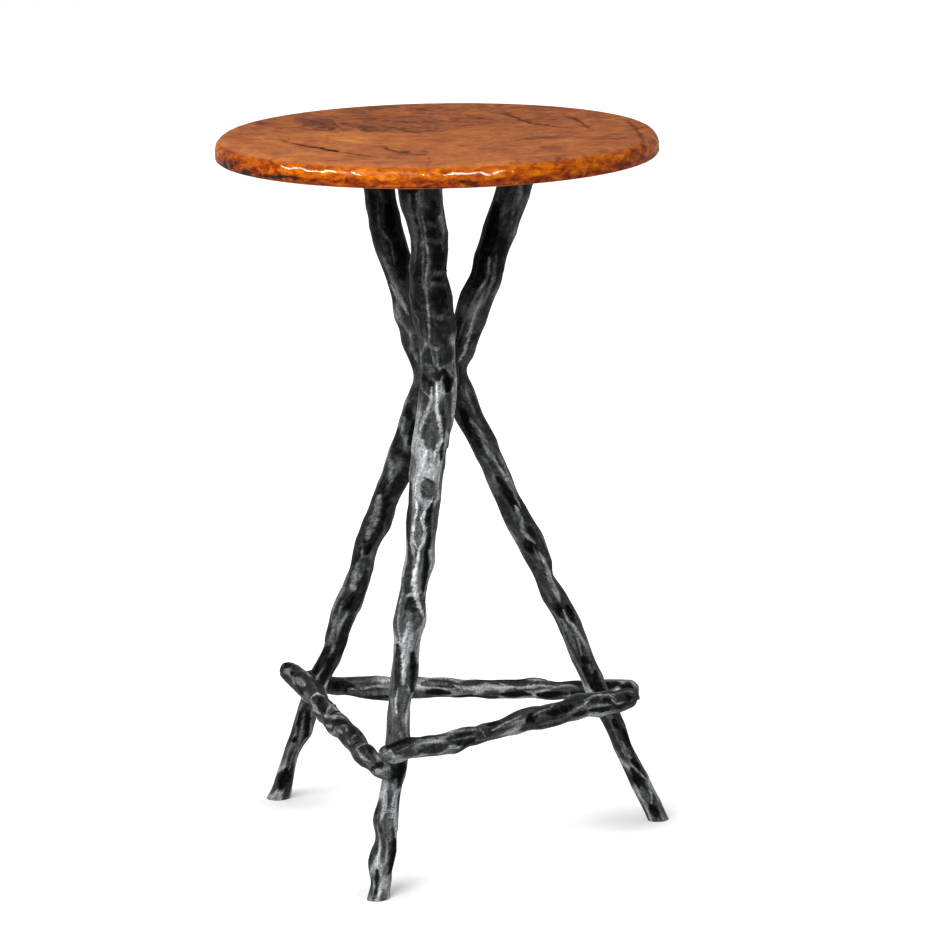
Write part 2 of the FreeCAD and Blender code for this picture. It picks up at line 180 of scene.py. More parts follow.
# Pitches of slow changes over a bar: how worn it is, the ragged edges of its flats, patches in the bright
# lines and the lines' rough sides. Then the depth of the grit that only the light shows.
wear_pitch = 0.09
ragged_pitch = 0.011
patch_pitch = 0.016
rough_pitch = 0.006
iron_relief = 0.0005

# One pixel of the picture, as a length on the bars
pixel_size = 0.00084

# Marks seen in the picture. A flat has the two numbers of either end, a half width and a tone, from 0 for
# black to 1 for bare metal. A rub is a bright line with its corners, its half width and its brightness.
# The tones are mostly the iron's own black and rubbed metal, and partly painted light: some bright rubs are
# painted highlights where facets catch the light, and some black flats are painted shade on faces turned
# from it.
front_leg_flats_px = (
    (433, 206, 434, 216, 6.0, 0.03), (433, 229, 434, 238, 5.5, 0.03), (436.5, 249, 438, 268, 7.5, 0.03),
    (438, 274, 438.5, 283, 5.0, 0.05), (439, 287, 441, 314, 8.0, 0.04), (443, 323, 445, 341, 6.5, 0.14),
    (409, 196, 414, 262, 5.0, 0.27), (417, 268, 419, 281, 3.5, 0.05), (416, 296, 419, 311, 3.5, 0.06),
    (447, 377, 448.5, 390, 6.0, 0.00), (433.3, 415, 427.5, 446, 5.0, 0.26), (425, 484, 433, 496, 6.0, 0.32),
    (411, 484, 409, 540, 4.5, 0.14), (430, 505, 428, 548, 4.5, 0.02), (418.5, 522, 417.5, 545, 5.0, 0.34),
    (408.5, 546, 406.5, 592, 4.5, 0.18), (425.5, 551, 423, 590, 3.2, 0.03), (424, 477, 435, 484, 1.1, 0.10),
    (410, 600, 414, 609, 6.5, 0.10), (408, 613, 410, 624, 5.0, 0.32), (412.5, 655, 412.5, 690, 4.4, 0.00),
    (397.6, 645, 396.5, 690, 3.0, 0.14), (403.5, 687, 402, 709, 5.5, 0.34),
    (388, 816, 386.5, 843, 6.0, 0.32), (395, 840, 390, 871, 3.5, 0.00), (377, 871, 375.5, 893, 2.5, 0.08),
    # The first flat on the next line is painted shadow, where the leg runs under the stretchers' ends
    (401, 764, 400, 784, 7.0, 0.02), (401, 788, 398.5, 828, 3.0, 0.03), (376.5, 796, 375.5, 814, 2.5, 0.05),
    (370.5, 856, 369.5, 876, 2.5, 0.04),
    (445.5, 400, 448.5, 432, 3.5, 0.30), (443, 412, 441, 460, 1.8, 0.03), (424, 375, 427, 380, 3.0, 0.02),
    (430, 383, 433, 384, 3.0, 0.03), (442, 371, 446, 374, 3.0, 0.04), (436, 370, 437, 378, 4.5, 0.10),
)
front_leg_rubs_px = (
    (((416, 193), (421.5, 232), (423, 262), (424.5, 290), (429, 318)), 1.2, 0.42),
    (((422, 216), (426, 240), (428, 262), (428.5, 300), (431, 347), (435, 366)), 1.5, 0.52),
    (((418.5, 190), (420.5, 206)), 3.0, 0.42), (((410, 292), (418.5, 320), (421.5, 336)), 1.2, 0.40),
    (((426, 364), (435, 372)), 4.5, 0.32),
    (((422, 380), (422.6, 389), (427, 394.5), (431.7, 398)), 0.8, 0.70),
    (((436.5, 386), (436.5, 408), (440.4, 426), (440.4, 441), (435.5, 453), (432, 467), (433, 479)),
     2.4, 0.95),
    (((431.4, 387), (431.4, 402), (426.3, 414.6), (420, 427.4), (417.4, 444), (420, 452)), 3.0, 0.72),
    (((423.8, 441), (426.3, 452), (422.5, 471)), 1.2, 0.90), (((431.5, 448), (433, 476)), 3.5, 0.70),
    (((416, 482), (416.5, 500), (417.4, 510), (414, 523), (412.3, 538), (417.4, 549)), 2.0, 0.85),
    (((433, 498), (425, 510), (422, 519), (425, 532), (422.5, 545), (418.7, 552), (417.4, 569)), 2.0, 0.90),
    (((417.5, 556), (415.3, 574), (415.3, 587), (418.6, 603.4), (423, 617)), 2.8, 0.92),
    (((403.4, 588), (399, 605.6), (398, 621), (400, 638), (402.3, 658), (401.2, 679)), 1.4, 0.62),
    (((409, 622), (411, 650)), 4.8, 0.68), (((403.5, 638), (403.6, 685)), 2.6, 0.92),
    (((416.4, 666), (413.3, 690)), 1.0, 0.45), (((398, 688), (395.8, 704), (397, 714)), 1.3, 0.82),
    (((406.6, 683), (409.4, 697)), 1.2, 0.68), (((402.5, 716), (405.5, 727)), 2.6, 0.50),
    (((400.5, 731), (402.5, 740)), 2.6, 0.50), (((395.7, 779), (394.6, 793)), 3.0, 0.42),
    (((386.8, 793), (386.8, 809)), 1.5, 0.66), (((393, 796), (393, 820)), 1.5, 0.85),
    (((377.3, 826), (378, 858)), 1.5, 0.70), (((386.8, 838), (386.8, 862)), 1.7, 0.66),
    (((373.4, 870), (372.5, 897)), 1.6, 0.55), (((380.3, 878), (379.5, 897)), 2.0, 0.75),
    (((449, 420), (447, 447)), 2.2, 0.40), (((434, 500), (431, 560)), 1.5, 0.35),
    (((424, 222), (433, 224), (444, 222)), 3.4, 0.22), (((424, 238), (433, 241), (445, 239)), 4.0, 0.24),
    (((426, 270.5), (437, 272.5), (448, 270.5)), 3.0, 0.27),
    (((429, 284.5), (437, 285), (446, 283)), 3.0, 0.27), (((431, 316), (440, 319), (452, 315)), 4.0, 0.28),
    (((419, 366), (426, 363.5), (434, 366)), 2.0, 0.38),
)
left_leg_flats_px = (
    (371, 194, 373, 204, 4.0, 0.03), (373, 208, 376, 220, 4.0, 0.05), (382, 222, 392, 262, 5.5, 0.16),
    (388, 205, 402, 278, 6.0, 0.00), (409.4, 404, 409, 418, 3.5, 0.03), (414.8, 421, 410, 443, 4.0, 0.00),
    # The second flat on the next line is painted shade, where the leg passes behind the front leg
    (399, 430, 395, 446, 3.0, 0.08), (396, 450, 405, 456, 3.5, 0.06), (385, 478, 380, 498, 4.5, 0.06),
    (387, 497, 378, 530, 4.0, 0.04), (369, 545, 367, 554, 2.6, 0.00), (361, 548, 355, 566, 3.0, 0.10),
    (355.5, 594, 346, 609, 3.4, 0.00), (366, 572, 352, 610, 3.5, 0.14), (350, 618, 338, 650, 4.5, 0.10),
    (331, 612, 326, 640, 3.0, 0.12), (328, 648, 316, 672, 5.0, 0.08), (300, 712, 299, 726, 3.0, 0.02),
    (333, 655, 321, 686, 3.6, 0.05), (308, 712, 305.5, 736, 3.5, 0.03),
    (294.5, 737.5, 293.8, 741.5, 1.8, 0.00), (287, 770, 281, 788, 6.0, 0.03),
)
left_leg_rubs_px = (
    (((378, 198), (379, 226), (391, 243), (394.7, 264)), 1.2, 0.35),
    (((390.5, 284), (400.3, 301), (408.8, 316)), 3.8, 0.55), (((404.5, 323), (407.5, 335)), 1.8, 0.38),
    (((414, 349), (417.5, 362)), 2.0, 0.50), (((414, 397), (408.3, 403)), 1.4, 0.35),
    (((404.8, 417), (403, 427), (404.5, 441)), 3.0, 0.46),
    (((392, 461), (391.5, 472), (390.5, 482)), 3.6, 0.50),
    (((380.5, 494), (375, 515), (367, 540)), 4.8, 0.50), (((363, 543), (362, 558)), 1.0, 0.45),
    (((357.8, 563), (355, 574), (353.3, 584), (354, 591)), 4.4, 0.56),
    (((342.7, 601), (339, 614)), 1.6, 0.50),
    (((338.5, 616), (335, 630), (332, 639), (333, 645)), 5.0, 0.46),
    (((304, 714), (301.7, 732), (294.5, 754), (289, 770)), 2.4, 0.42),
    (((273, 790), (272.8, 797)), 1.5, 0.45),
)
right_leg_flats_px = (
    (462.5, 410, 480, 446, 4.0, 0.03), (499, 478, 514, 505, 4.5, 0.04), (527, 541, 531, 552, 5.0, 0.00),
    (529, 527, 533.5, 538, 3.0, 0.00), (556.5, 605, 561, 616, 4.0, 0.00), (567, 606, 574, 625, 3.0, 0.00),
    (583, 657, 588, 668, 3.0, 0.03), (614, 720, 617.5, 727, 3.0, 0.03), (623.5, 730, 629.5, 745, 3.0, 0.00),
    (632.5, 759, 637.5, 768, 3.5, 0.00), (633, 770, 642, 787, 5.0, 0.05), (643, 789, 648, 801, 3.0, 0.34),
    # The second flat on the next line is painted shade on the underside of the leg's part above the waist
    (652, 806, 657, 816, 4.0, 0.03), (497, 205, 478, 285, 6.0, 0.00), (584, 668, 592, 688, 2.6, 0.05),
    (594, 672, 606, 706, 4.0, 0.06),
)
right_leg_rubs_px = (
    (((488.7, 256), (488.7, 275.4), (479, 292), (470.5, 306), (462, 327), (456.5, 346)), 2.2, 0.46),
    (((496, 254), (493, 281), (483, 302), (473.3, 320.3)), 2.6, 0.42),
    (((484, 288), (474, 306), (467, 326)), 4.0, 0.26),
    (((473.3, 320.3), (469, 334.3), (464, 352), (459.3, 361)), 2.4, 0.74),
    (((504, 197), (502.8, 214)), 1.4, 0.35), (((514, 204), (511.2, 226)), 1.6, 0.35),
    (((461.6, 386), (464, 394.5), (471.3, 406), (474.2, 413.5)), 2.6, 0.42),
    (((470, 417), (481.2, 435), (488.8, 451.6), (500.3, 469.5)), 3.4, 0.50),
    (((475, 424), (484, 440)), 1.4, 0.66),
    (((487, 449), (500.3, 469.5), (506.7, 479.7), (514.3, 492.4), (520.7, 508)), 1.8, 0.60),
    (((516, 506), (519, 517)), 2.4, 0.58),
    (((521.5, 516), (523, 531.5), (527.6, 537.2), (536, 543.5)), 2.6, 0.52),
    (((527.6, 554.4), (537, 564)), 1.0, 0.42),
    (((539, 552), (547, 569.4), (554, 585.4), (560, 602)), 3.6, 0.56),
    (((543, 560), (550, 576), (557, 594)), 1.4, 0.74), (((536, 570), (545, 590), (553, 604)), 3.0, 0.30),
    (((563, 609.6), (567.7, 621), (575.8, 629), (579.2, 644), (581.5, 655.5)), 1.8, 0.62),
    (((560, 618), (571.2, 638.3), (578, 654.3)), 2.8, 0.44), (((589, 664), (592, 674)), 2.2, 0.40),
    (((611, 722), (615, 733.6), (619, 742)), 1.3, 0.55),
    (((620.7, 741.2), (627.4, 754.6), (631.2, 758.5)), 3.8, 0.50),
    (((629.3, 762.3), (638.9, 772), (647.5, 781.4)), 1.5, 0.55),
    (((648.5, 784.3), (651.3, 794.8), (651.5, 804)), 1.8, 0.62), (((651.3, 814), (656, 821.6)), 1.2, 0.45),
)
leg_marks_px = {
    "front": (front_leg_flats_px, front_leg_rubs_px),
    "left": (left_leg_flats_px, left_leg_rubs_px),
    "right": (right_leg_flats_px, right_leg_rubs_px),
}


def eased(places, values, at):
    """Smooth line through the rows of a table: a cubic between neighbours whose slope at each row
    comes from the rows on both sides of it."""
    places = np.asarray(places, float)
    values = np.asarray(values, float)
    slopes = np.gradient(values, places, axis=0)
    low = np.clip(np.searchsorted(places, at, side="right") - 1, 0, len(places) - 2)
    step = places[low + 1] - places[low]
    t = (at - places[low]) / step
    if values.ndim > 1:
        t = t[:, None]
        step = step[:, None]
    rise = t * t * (3 - 2 * t)
    ends = values[low] * (1 - rise) + values[low + 1] * rise
    return ends + step * t * (1 - t) * (slopes[low] * (1 - t) - slopes[low + 1] * t)


def polar(reach, bearing_deg, height):
    """Point at a reach from the table's axis, a bearing and a height."""
    bearing = math.radians(bearing_deg)
    return np.array((reach * math.cos(bearing), reach * math.sin(bearing), height))


def leg_stations(name):
    """Middles and half thicknesses of a leg's table rows, foot to head."""
    sizes = leg_sizes[name]
    thickness = sizes["thickness"]
    heights = (0.0, waist_height, head_height)
    knots = [polar(*place) for place in zip(sizes["reaches"], sizes["bearings_deg"], heights)]
    middles = []
    halves = []
    for start, end, table in zip(knots, knots[1:], leg_shares[name]):
        rows = np.array(table)
        wander = np.zeros((len(rows), 3))
        wander[:, :2] = rows[:, 1:3] * thickness
        middles.append(start + (end - start) * rows[:, :1] + wander)
        halves.append(rows[:, 3] * thickness / 2)
    return np.concatenate(middles), np.concatenate(halves)


def soft_step(value, low, high):
    """Eases from 0 to 1 while a value goes from low to high."""
    share = np.clip((value - low) / (high - low), 0, 1)
    return share * share * (3 - 2 * share)


def round_turn(angle):
    """An angle brought between half a turn back and half a turn on."""
    return (angle + math.pi) % (2 * math.pi) - math.pi


def full_turn(count):
    """Bearings spread evenly over a full turn."""
    return np.arange(count) * 2 * math.pi / count


def ring_points(radius, bearings, height):
    """Points of rings round an upright axis: radius * cos(bearing), radius * sin(bearing) and height."""
    axes = (np.cos(bearings) * radius, np.sin(bearings) * radius, height[:, None])
    return np.stack(np.broadcast_arrays(*axes), axis=-1)


def unit(vector):
    """A vector of the same direction that is one long."""
    return vector / np.linalg.norm(vector)


def seeded_blows(rng, way, half):
    """Hammer blows in lanes along a bar: place along it, bearing round it, half length, half width, slant,
    depth and tone, each drawn a little off an even pattern. A lane's full depth makes the round bar flat
    there, half * (1 - cos(half a lane))."""
    rows = max(2, int(way[-1] / blow_pitch))
    row, lane = np.divmod(np.arange(rows * blow_lanes), blow_lanes)
    count = len(row)
    along = (row + 0.5 * (lane % 2) + rng.uniform(-0.3, 0.3, count)) * way[-1] / rows
    wander = lane_wander * np.sin(2 * math.pi * (along / lane_wave + rng.uniform()))
    bearing = (lane + rng.uniform(-0.14, 0.14, count)) * 2 * math.pi / blow_lanes + wander
    local = np.interp(along, way, half)
    return np.stack((
        along,
        bearing,
        blow_length * rng.uniform(0.7, 1.6, count),
        1.2 * math.pi * local / blow_lanes * rng.uniform(0.85, 1.15, count),
        math.radians(9.0) * rng.uniform(-1.0, 1.0, count),
        local * (1 - math.cos(math.pi / blow_lanes)) * rng.uniform(0.55, 0.95, count),
        rng.uniform(0.0, 1.0, count) ** 2.5,
    ), axis=1)


def hammered(way, bearings, half, blows):
    """Depth and tone of the hammer marks over a bar. A blow is a bowl,
    depth * (1 - (along / length)^2 - (across / width)^2), turned by its slant.
    The deepest bowl wins, so that neighbouring bowls meet in ridges. A bowl's tone carries painted light:
    it is brighter towards the bar's start, where the bowl faces up to the light."""
    deepest = np.zeros((len(way), len(bearings)))
    tone_and_light = np.full_like(deepest, 0.3)
    for place, bearing, length, width, slant, depth, blow_tone in blows:
        near = np.flatnonzero(np.abs(way - place) < length + width)
        if len(near) == 0:
            continue
        rows = slice(near[0], near[-1] + 1)
        along = (way[rows] - place)[:, None]
        across = round_turn(bearings - bearing) * half[rows, None]
        run = along * math.cos(slant) + across * math.sin(slant)
        side = across * math.cos(slant) - along * math.sin(slant)
        bowl = depth * (1 - (run / length) ** 2 - (side / width) ** 2)
        wins = bowl > deepest[rows]
        deepest[rows] = np.where(wins, bowl, deepest[rows])
        # painted light: a bowl's tone is lighter at its end towards the bar's start, which faces up
        tone_and_light[rows] = np.where(wins, blow_tone * (0.7 - 0.5 * np.clip(run / length, -1, 1)), tone_and_light[rows])
    return deepest, tone_and_light


def line_distance(way, bearings, half, places):
    """Distance over a bar's surface from every place on it to a line of places, each along and round,
    and the share of the line's length at which it is nearest."""
    nearest = np.full((len(way), len(bearings)), np.inf)
    nearest_share = np.zeros_like(nearest)
    count = len(places) - 1
    for number, ((along_a, round_a), (along_b, round_b)) in enumerate(zip(places, places[1:])):
        local = float(np.interp((along_a + along_b) / 2, way, half))
        reach_along = along_b - along_a
        reach_round = round_turn(round_b - round_a) * local
        along = (way - along_a)[:, None]
        across = round_turn(bearings - round_a)[None, :] * half[:, None]
        share = (along * reach_along + across * reach_round) / (reach_along ** 2 + reach_round ** 2 + 1e-12)
        share = np.clip(share, 0, 1)
        distance = np.hypot(along - share * reach_along, across - share * reach_round)
        nearest_share = np.where(distance < nearest, (number + share) / count, nearest_share)
        nearest = np.minimum(nearest, distance)
    return nearest, nearest_share


def soft_waves(rng, count, pitch, *coordinates):
    """Sum of cosines with seeded directions and phases, about one unit high, for slow unevenness."""
    total = 0.0
    for _ in range(count):
        phase = rng.uniform(0, 2 * math.pi)
        for coordinate in coordinates:
            phase = phase + coordinate * rng.normal() * 2 * math.pi / pitch
        total = total + np.cos(phase)
    return total * math.sqrt(2.0 / count)


def grid_faces(rings, spokes):
    """Quads of a grid that closes round on itself, ring after ring."""
    ring, spoke = np.meshgrid(np.arange(rings - 1), np.arange(spokes), indexing="ij")
    after = (spoke + 1) % spokes
    here = ring * spokes
    quads = np.stack((here + spoke, here + after, here + spokes + after, here + spokes + spoke), axis=-1)
    return quads.reshape(-1, 4)


def closed_tube(name, rings, start_pole, end_pole, attributes):
    """Mesh object of a closed tube: a grid of rings, and a fan to a pole at each end.
    Attributes are grids of numbers or vectors, one for each ring point; a pole takes its ring's mean."""
    count, spokes = rings.shape[:2]
    quads = grid_faces(count, spokes)
    spoke = np.arange(spokes)
    after = (spoke + 1) % spokes
    first = count * spokes
    start_fan = np.stack((after, spoke, np.full(spokes, first)), axis=1)
    last = (count - 1) * spokes
    end_fan = np.stack((last + spoke, last + after, np.full(spokes, first + 1)), axis=1)
    points = np.concatenate((rings.reshape(-1, 3), [start_pole], [end_pole]))
    mesh = bpy.data.meshes.new(name)
    mesh.from_pydata(points.tolist(), [], quads.tolist() + start_fan.tolist() + end_fan.tolist())
    for label, grid in attributes.items():
        vector = grid.ndim == 3
        flat = grid.reshape(first, -1)
        poles = np.stack((flat[:spokes].mean(axis=0), flat[-spokes:].mean(axis=0)))
        layer = mesh.attributes.new(label, "FLOAT_VECTOR" if vector else "FLOAT", "POINT")
        values = np.concatenate((flat, poles)).astype(np.float32)
        layer.data.foreach_set("vector" if vector else "value", values.ravel())
    mesh.polygons.foreach_set("use_smooth", np.ones(len(mesh.polygons), bool))
    mesh.update()
    return add_object(name, mesh)


def forged_bar(name, middles, spokes, half, rng, wear, knob_size, marks_px):
    """A hammered bar: each ring point is the ring's middle plus its spoke, drawn in by the hammer marks,
    and moved in and out by slow knobs.
    The marks seen in the picture overrule the seeded ones round them: a flat is a bowl set in the bar, and
    a rub is a crest. Its attributes are rub, how bright the metal is, with painted highlights and shade in
    it, and straight, the place on the bar if it were unbent: across, across and along."""
    flats_px, rubs_px = marks_px
    steps = np.linalg.norm(np.diff(middles, axis=0), axis=1)
    way = np.concatenate(([0.0], np.cumsum(steps)))
    bearings = full_turn(spokes.shape[1])
    smooth = middles[:, None, :] + spokes
    pixels = picture_pixels(smooth)
    unseen = (spokes * (camera_place - smooth)).sum(axis=2) <= 0

    def place_at(pixel):
        """Place along the bar and round it of the point on the camera's side that is nearest to a pixel."""
        miss = np.where(unseen, np.inf, ((pixels - pixel) ** 2).sum(axis=2))
        ring, spoke = np.unravel_index(miss.argmin(), miss.shape)
        return way[ring], bearings[spoke]

    # Crests between the blows are worn, and each blow carries painted light, brighter at its end that faces
    # up;
    # both show more in some places than in others
    flat_depth = (half * (1 - math.cos(math.pi / blow_lanes)))[:, None]
    depth, tone_and_light = hammered(way, bearings, half, seeded_blows(rng, way, half))
    across = bearings[None, :] * half[:, None]
    drift = 0.5 + 0.5 * soft_waves(rng, 7, wear_pitch, way[:, None], across)
    crest = 1 - soft_step(depth / flat_depth, 0.12, 0.60)
    wear_and_light = np.clip(0.25 + 0.75 * drift, 0.1, 1.0) * (0.48 * crest + 0.38 * tone_and_light)
    rub = np.minimum(wear(way / way[-1])[:, None] * (0.12 + wear_and_light), 0.68)

    # A flat is widest at the middle of its line, and its edge is ragged
    ragged = 1 + 0.22 * soft_waves(rng, 9, ragged_pitch, 0.6 * way[:, None], across)
    for *ends, width_px, flat_tone in flats_px:
        places = (place_at(ends[:2]), place_at(ends[2:]))
        width = width_px * pixel_size
        distance, share = line_distance(way, bearings, half, places)
        share = distance / (width * (0.62 + 0.45 * np.sin(math.pi * share)))
        local = float(np.interp((places[0][0] + places[1][0]) / 2, way, half))
        bowl = 0.3 * flat_depth + 1.5 * width ** 2 / (2 * local) * np.clip(1 - share ** 2, 0, None)
        cover = 1 - soft_step(share, 0.85, 1.5)
        depth = depth * (1 - cover) + bowl * cover
        inside = 1 - soft_step(share * ragged, 0.55, 1.22)
        rub = rub * (1 - 0.45 * cover) * (1 - inside) + flat_tone * inside

    # A rub tapers towards its ends, has rough sides and a soft halo, and is brighter in some places
    patchy = 0.5 + 0.5 * soft_waves(rng, 9, patch_pitch, way[:, None], 1.6 * across)
    rough = soft_waves(rng, 12, rough_pitch, way[:, None], across)
    for corners, width_px, brightness in rubs_px:
        distance, share = line_distance(way, bearings, half, [place_at(corner) for corner in corners])
        taper = 0.25 + 0.75 * np.sqrt(np.sin(math.pi * share))
        width = np.clip(1 + 0.15 * patchy + 0.22 * rough, 0.4, None) * width_px * pixel_size * taper
        line = 1 - soft_step(distance / width, 0.42, 1.36)
        halo = np.exp(-(distance / (width + 2.2 * pixel_size)) ** 2) * taper
        depth = depth * (1 - 0.75 * line) + 0.08 * flat_depth * 0.75 * line
        rub = np.maximum(rub, brightness * (0.76 + 0.2 * patchy) * np.maximum(line, 0.42 * halo))

    uneven = knob_size * soft_waves(rng, 9, knob_pitch, way[:, None], across)
    radius = np.linalg.norm(spokes, axis=2)
    swell = 1 + (proud_share * half[:, None] - depth + uneven) / radius
    return closed_tube(name, middles[:, None, :] + spokes * swell[:, :, None], middles[0], middles[-1], {
        "rub": np.clip(rub, 0, 1),
        "straight": ring_points(half[:, None], bearings, way),
    })


def fill_sockets(tree, node, sockets):
    """Give inputs of a node a value each, or link them to another node's output."""
    for key, value in sockets.items():
        if isinstance(value, bpy.types.NodeSocket):
            tree.links.new(value, node.inputs[key])
        else:
            node.inputs[key].default_value = value


def shader_node(tree, kind, sockets=None, **settings):
    """Add one node. Settings are its own options, and sockets are its inputs."""
    made = tree.nodes.new(kind)
    for key, value in settings.items():
        setattr(made, key, value)
    fill_sockets(tree, made, sockets or {})
    return made


def new_material(name):
    """Empty node material with a Principled surface, and its tree."""
    material = bpy.data.materials.new(name)
    material.use_nodes = True
    tree = material.node_tree
    return material, tree, tree.nodes["Principled BSDF"]


def attribute(tree, name, kind="Fac"):
    """Output of a mesh attribute, a number or a vector."""
    return shader_node(tree, "ShaderNodeAttribute", attribute_name=name).outputs[kind]


def math_node(tree, operation, first, *others, clamp=False):
    """Output of a sum, product or other step that takes in one number or output after another."""
    for other in others:
        sockets = {0: first, 1: other}
        first = shader_node(tree, "ShaderNodeMath", sockets, operation=operation, use_clamp=clamp).outputs[0]
    return first


def value_range(tree, value, low, high, new_low=0.0, new_high=1.0, kind="LINEAR"):
    """Output that goes from new_low to new_high while a value goes from low to high."""
    sockets = {"Value": value, "From Min": low, "From Max": high, "To Min": new_low, "To Max": new_high}
    return shader_node(tree, "ShaderNodeMapRange", sockets, interpolation_type=kind).outputs[0]


def smooth_range(tree, value, low, high):
    """Output that eases from 0 to 1 while a value goes from low to high."""
    return value_range(tree, value, low, high, kind="SMOOTHSTEP")


def noise(tree, place, scale, detail, roughness=0.5, distortion=0.0):
    """Output of a noise: its scale, how many finer steps it has, how strong they are, how bent it is."""
    return shader_node(tree, "ShaderNodeTexNoise", {
        "Vector": place, "Scale": scale, "Detail": detail, "Roughness": roughness, "Distortion": distortion,
    }).outputs[0]


def stretched(tree, place, scales):
    """Output of places scaled along the three axes."""
    return shader_node(tree, "ShaderNodeMapping", {"Vector": place, "Scale": scales}).outputs[0]


def bump(tree, height, strength, depth):
    """Output of the normals of a fine relief."""
    sockets = {"Height": height, "Strength": strength, "Distance": depth}
    return shader_node(tree, "ShaderNodeBump", sockets).outputs[0]


def mix_colours(tree, share, first, second):
    """Output of two colours mixed by a share."""
    sockets = {0: share, 6: first, 7: second}
    return shader_node(tree, "ShaderNodeMix", sockets, data_type="RGBA").outputs[2]


def rubbed_iron(name):
    """Black iron with bright metal where it is rubbed, and the painted highlights and shade that the rub
    attribute carries, broken up by streaks along the bar and by pits.
    """
    material, tree, surface = new_material(name)
    straight = attribute(tree, "straight", "Vector")
    streak = noise(tree, stretched(tree, straight, (1.0, 1.0, 0.12)), 480.0, 4.0)
    grit = noise(tree, straight, 640.0, 3.0)
    cloud = noise(tree, straight, 190.0, 5.0)
    streaks = math_node(tree, "MULTIPLY", smooth_range(tree, streak, 0.34, 0.66), 0.30)
    grains = math_node(tree, "MULTIPLY", smooth_range(tree, grit, 0.34, 0.66), 0.32)
    broken = math_node(tree, "ADD", streaks, grains, 0.69)
    pitted = value_range(tree, noise(tree, straight, 420.0, 1.0), 0.27, 0.35, 0.45, 1.0)
    bare = math_node(tree, "MULTIPLY", attribute(tree, "rub"), broken, pitted)
    clouds = math_node(tree, "MULTIPLY", smooth_range(tree, cloud, 0.45, 0.70), 0.10)
    level = math_node(tree, "ADD", bare, clouds, clamp=True)
    grey = math_node(tree, "ADD", math_node(tree, "MULTIPLY", level, 0.76), 0.04)
    grey = math_node(tree, "POWER", grey, 2.2)
    relief = math_node(tree, "ADD", math_node(tree, "MULTIPLY", streak, 0.7), pitted, grit)
    fill_sockets(tree, surface, {
        "Base Color": mix_colours(tree, grey, (0.0, 0.0, 0.0, 1.0), (0.97, 1.0, 1.02, 1.0)),
        "Metallic": math_node(tree, "MULTIPLY", level, 0.5),
        "Roughness": value_range(tree, grit, 0.0, 1.0, 0.42, 0.64),
        "Specular IOR Level": 0.02,
        "Normal": bump(tree, relief, 0.3, iron_relief),
    })
    return material


iron = rubbed_iron("rubbed_iron")

# Share of a leg's length, and how worn it is there
leg_wear_shares = {
    "front": ((0.0, 1.8), (0.2, 2.0), (0.35, 2.4), (0.45, 2.4), (0.60, 2.1), (0.70, 1.3), (0.8, 0.85),
              (1.0, 0.75)),
    "left": ((0.0, 1.2), (0.15, 1.1), (0.3, 0.8), (0.55, 0.8), (0.70, 0.8), (0.8, 0.6), (1.0, 0.5)),
    "right": ((0.0, 1.5), (0.3, 1.4), (0.6, 1.3), (0.72, 1.0), (0.85, 0.6), (1.0, 0.5)),
}
legs = {}
for number, name in enumerate(leg_sizes):
    rng = np.random.default_rng(leg_seed + number)
    middles, halves = leg_stations(name)
    legs[name] = (middles, halves)
    heights = np.linspace(0.0, head_height, leg_rings)
    path = np.concatenate((eased(middles[:, 2], middles[:, :2], heights), heights[:, None]), axis=1)
    half = eased(middles[:, 2], halves, heights)
    lean = np.gradient(path[:, :2], heights, axis=0)
    bearings = full_turn(leg_spokes)
    level = np.stack((np.cos(bearings), np.sin(bearings)), axis=1)
    # A level cut of a leaning bar is longer along the lean than across it
    stretch = (lean @ level.T) / (1 + np.sqrt(1 + (lean ** 2).sum(axis=1)))[:, None]
    spokes = np.zeros((leg_rings, leg_spokes, 3))
    spokes[:, :, :2] = (level[None, :, :] + lean[:, None, :] * stretch[:, :, None]) * half[:, None, None]
    wear_rows = np.array(leg_wear_shares[name])
    leg = forged_bar("leg_bar_" + name, path, spokes, half, rng,
                     lambda share: eased(wear_rows[:, 0], wear_rows[:, 1], share),
                     leg_knob_size, leg_marks_px[name])
    leg.data.materials.append(iron)
    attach(leg, "root")
    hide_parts("leg_" + name)

# Waist welds: three beads of weld metal laid upright in the grooves between the legs where they meet.
# They are ground back a little and blackened with the bars.
waist_weld_length = 0.046
waist_weld_radius = 0.006
waist_weld_pairs = {
    "front_left": ("front", "left"),
    "left_right": ("left", "right"),
    "right_front": ("right", "front"),
}
waist_weld_seed = 610

# Share of a bead's length and its radius there, and the pitch and size of its ripples
waist_bead_radii = (
    (0.0, 0.0006), (0.12, 0.0032), (0.3, 0.0052), (0.5, 0.006), (0.7, 0.0052), (0.88, 0.0032),
    (1.0, 0.0006),
)
waist_bead_ripples = (0.0032, 0.0004)

# Rings and spokes of a bead, the pitch of its slow unevenness, and a direction that no bead runs along,
# from which its spokes are counted
bead_rings = 72
bead_spokes = 48
bead_wave_pitch = 0.012
bead_spoke_guide = (0.31, 0.87, 0.39)


def leg_at(name, height):
    """Middle and half thickness of a leg at a height, straight between its stations."""
    middles, halves = legs[name]
    sideways, depth, half = [np.interp(height, middles[:, 2], row) for row in (*middles[:, :2].T, halves)]
    return np.array((sideways, depth, height)), float(half)


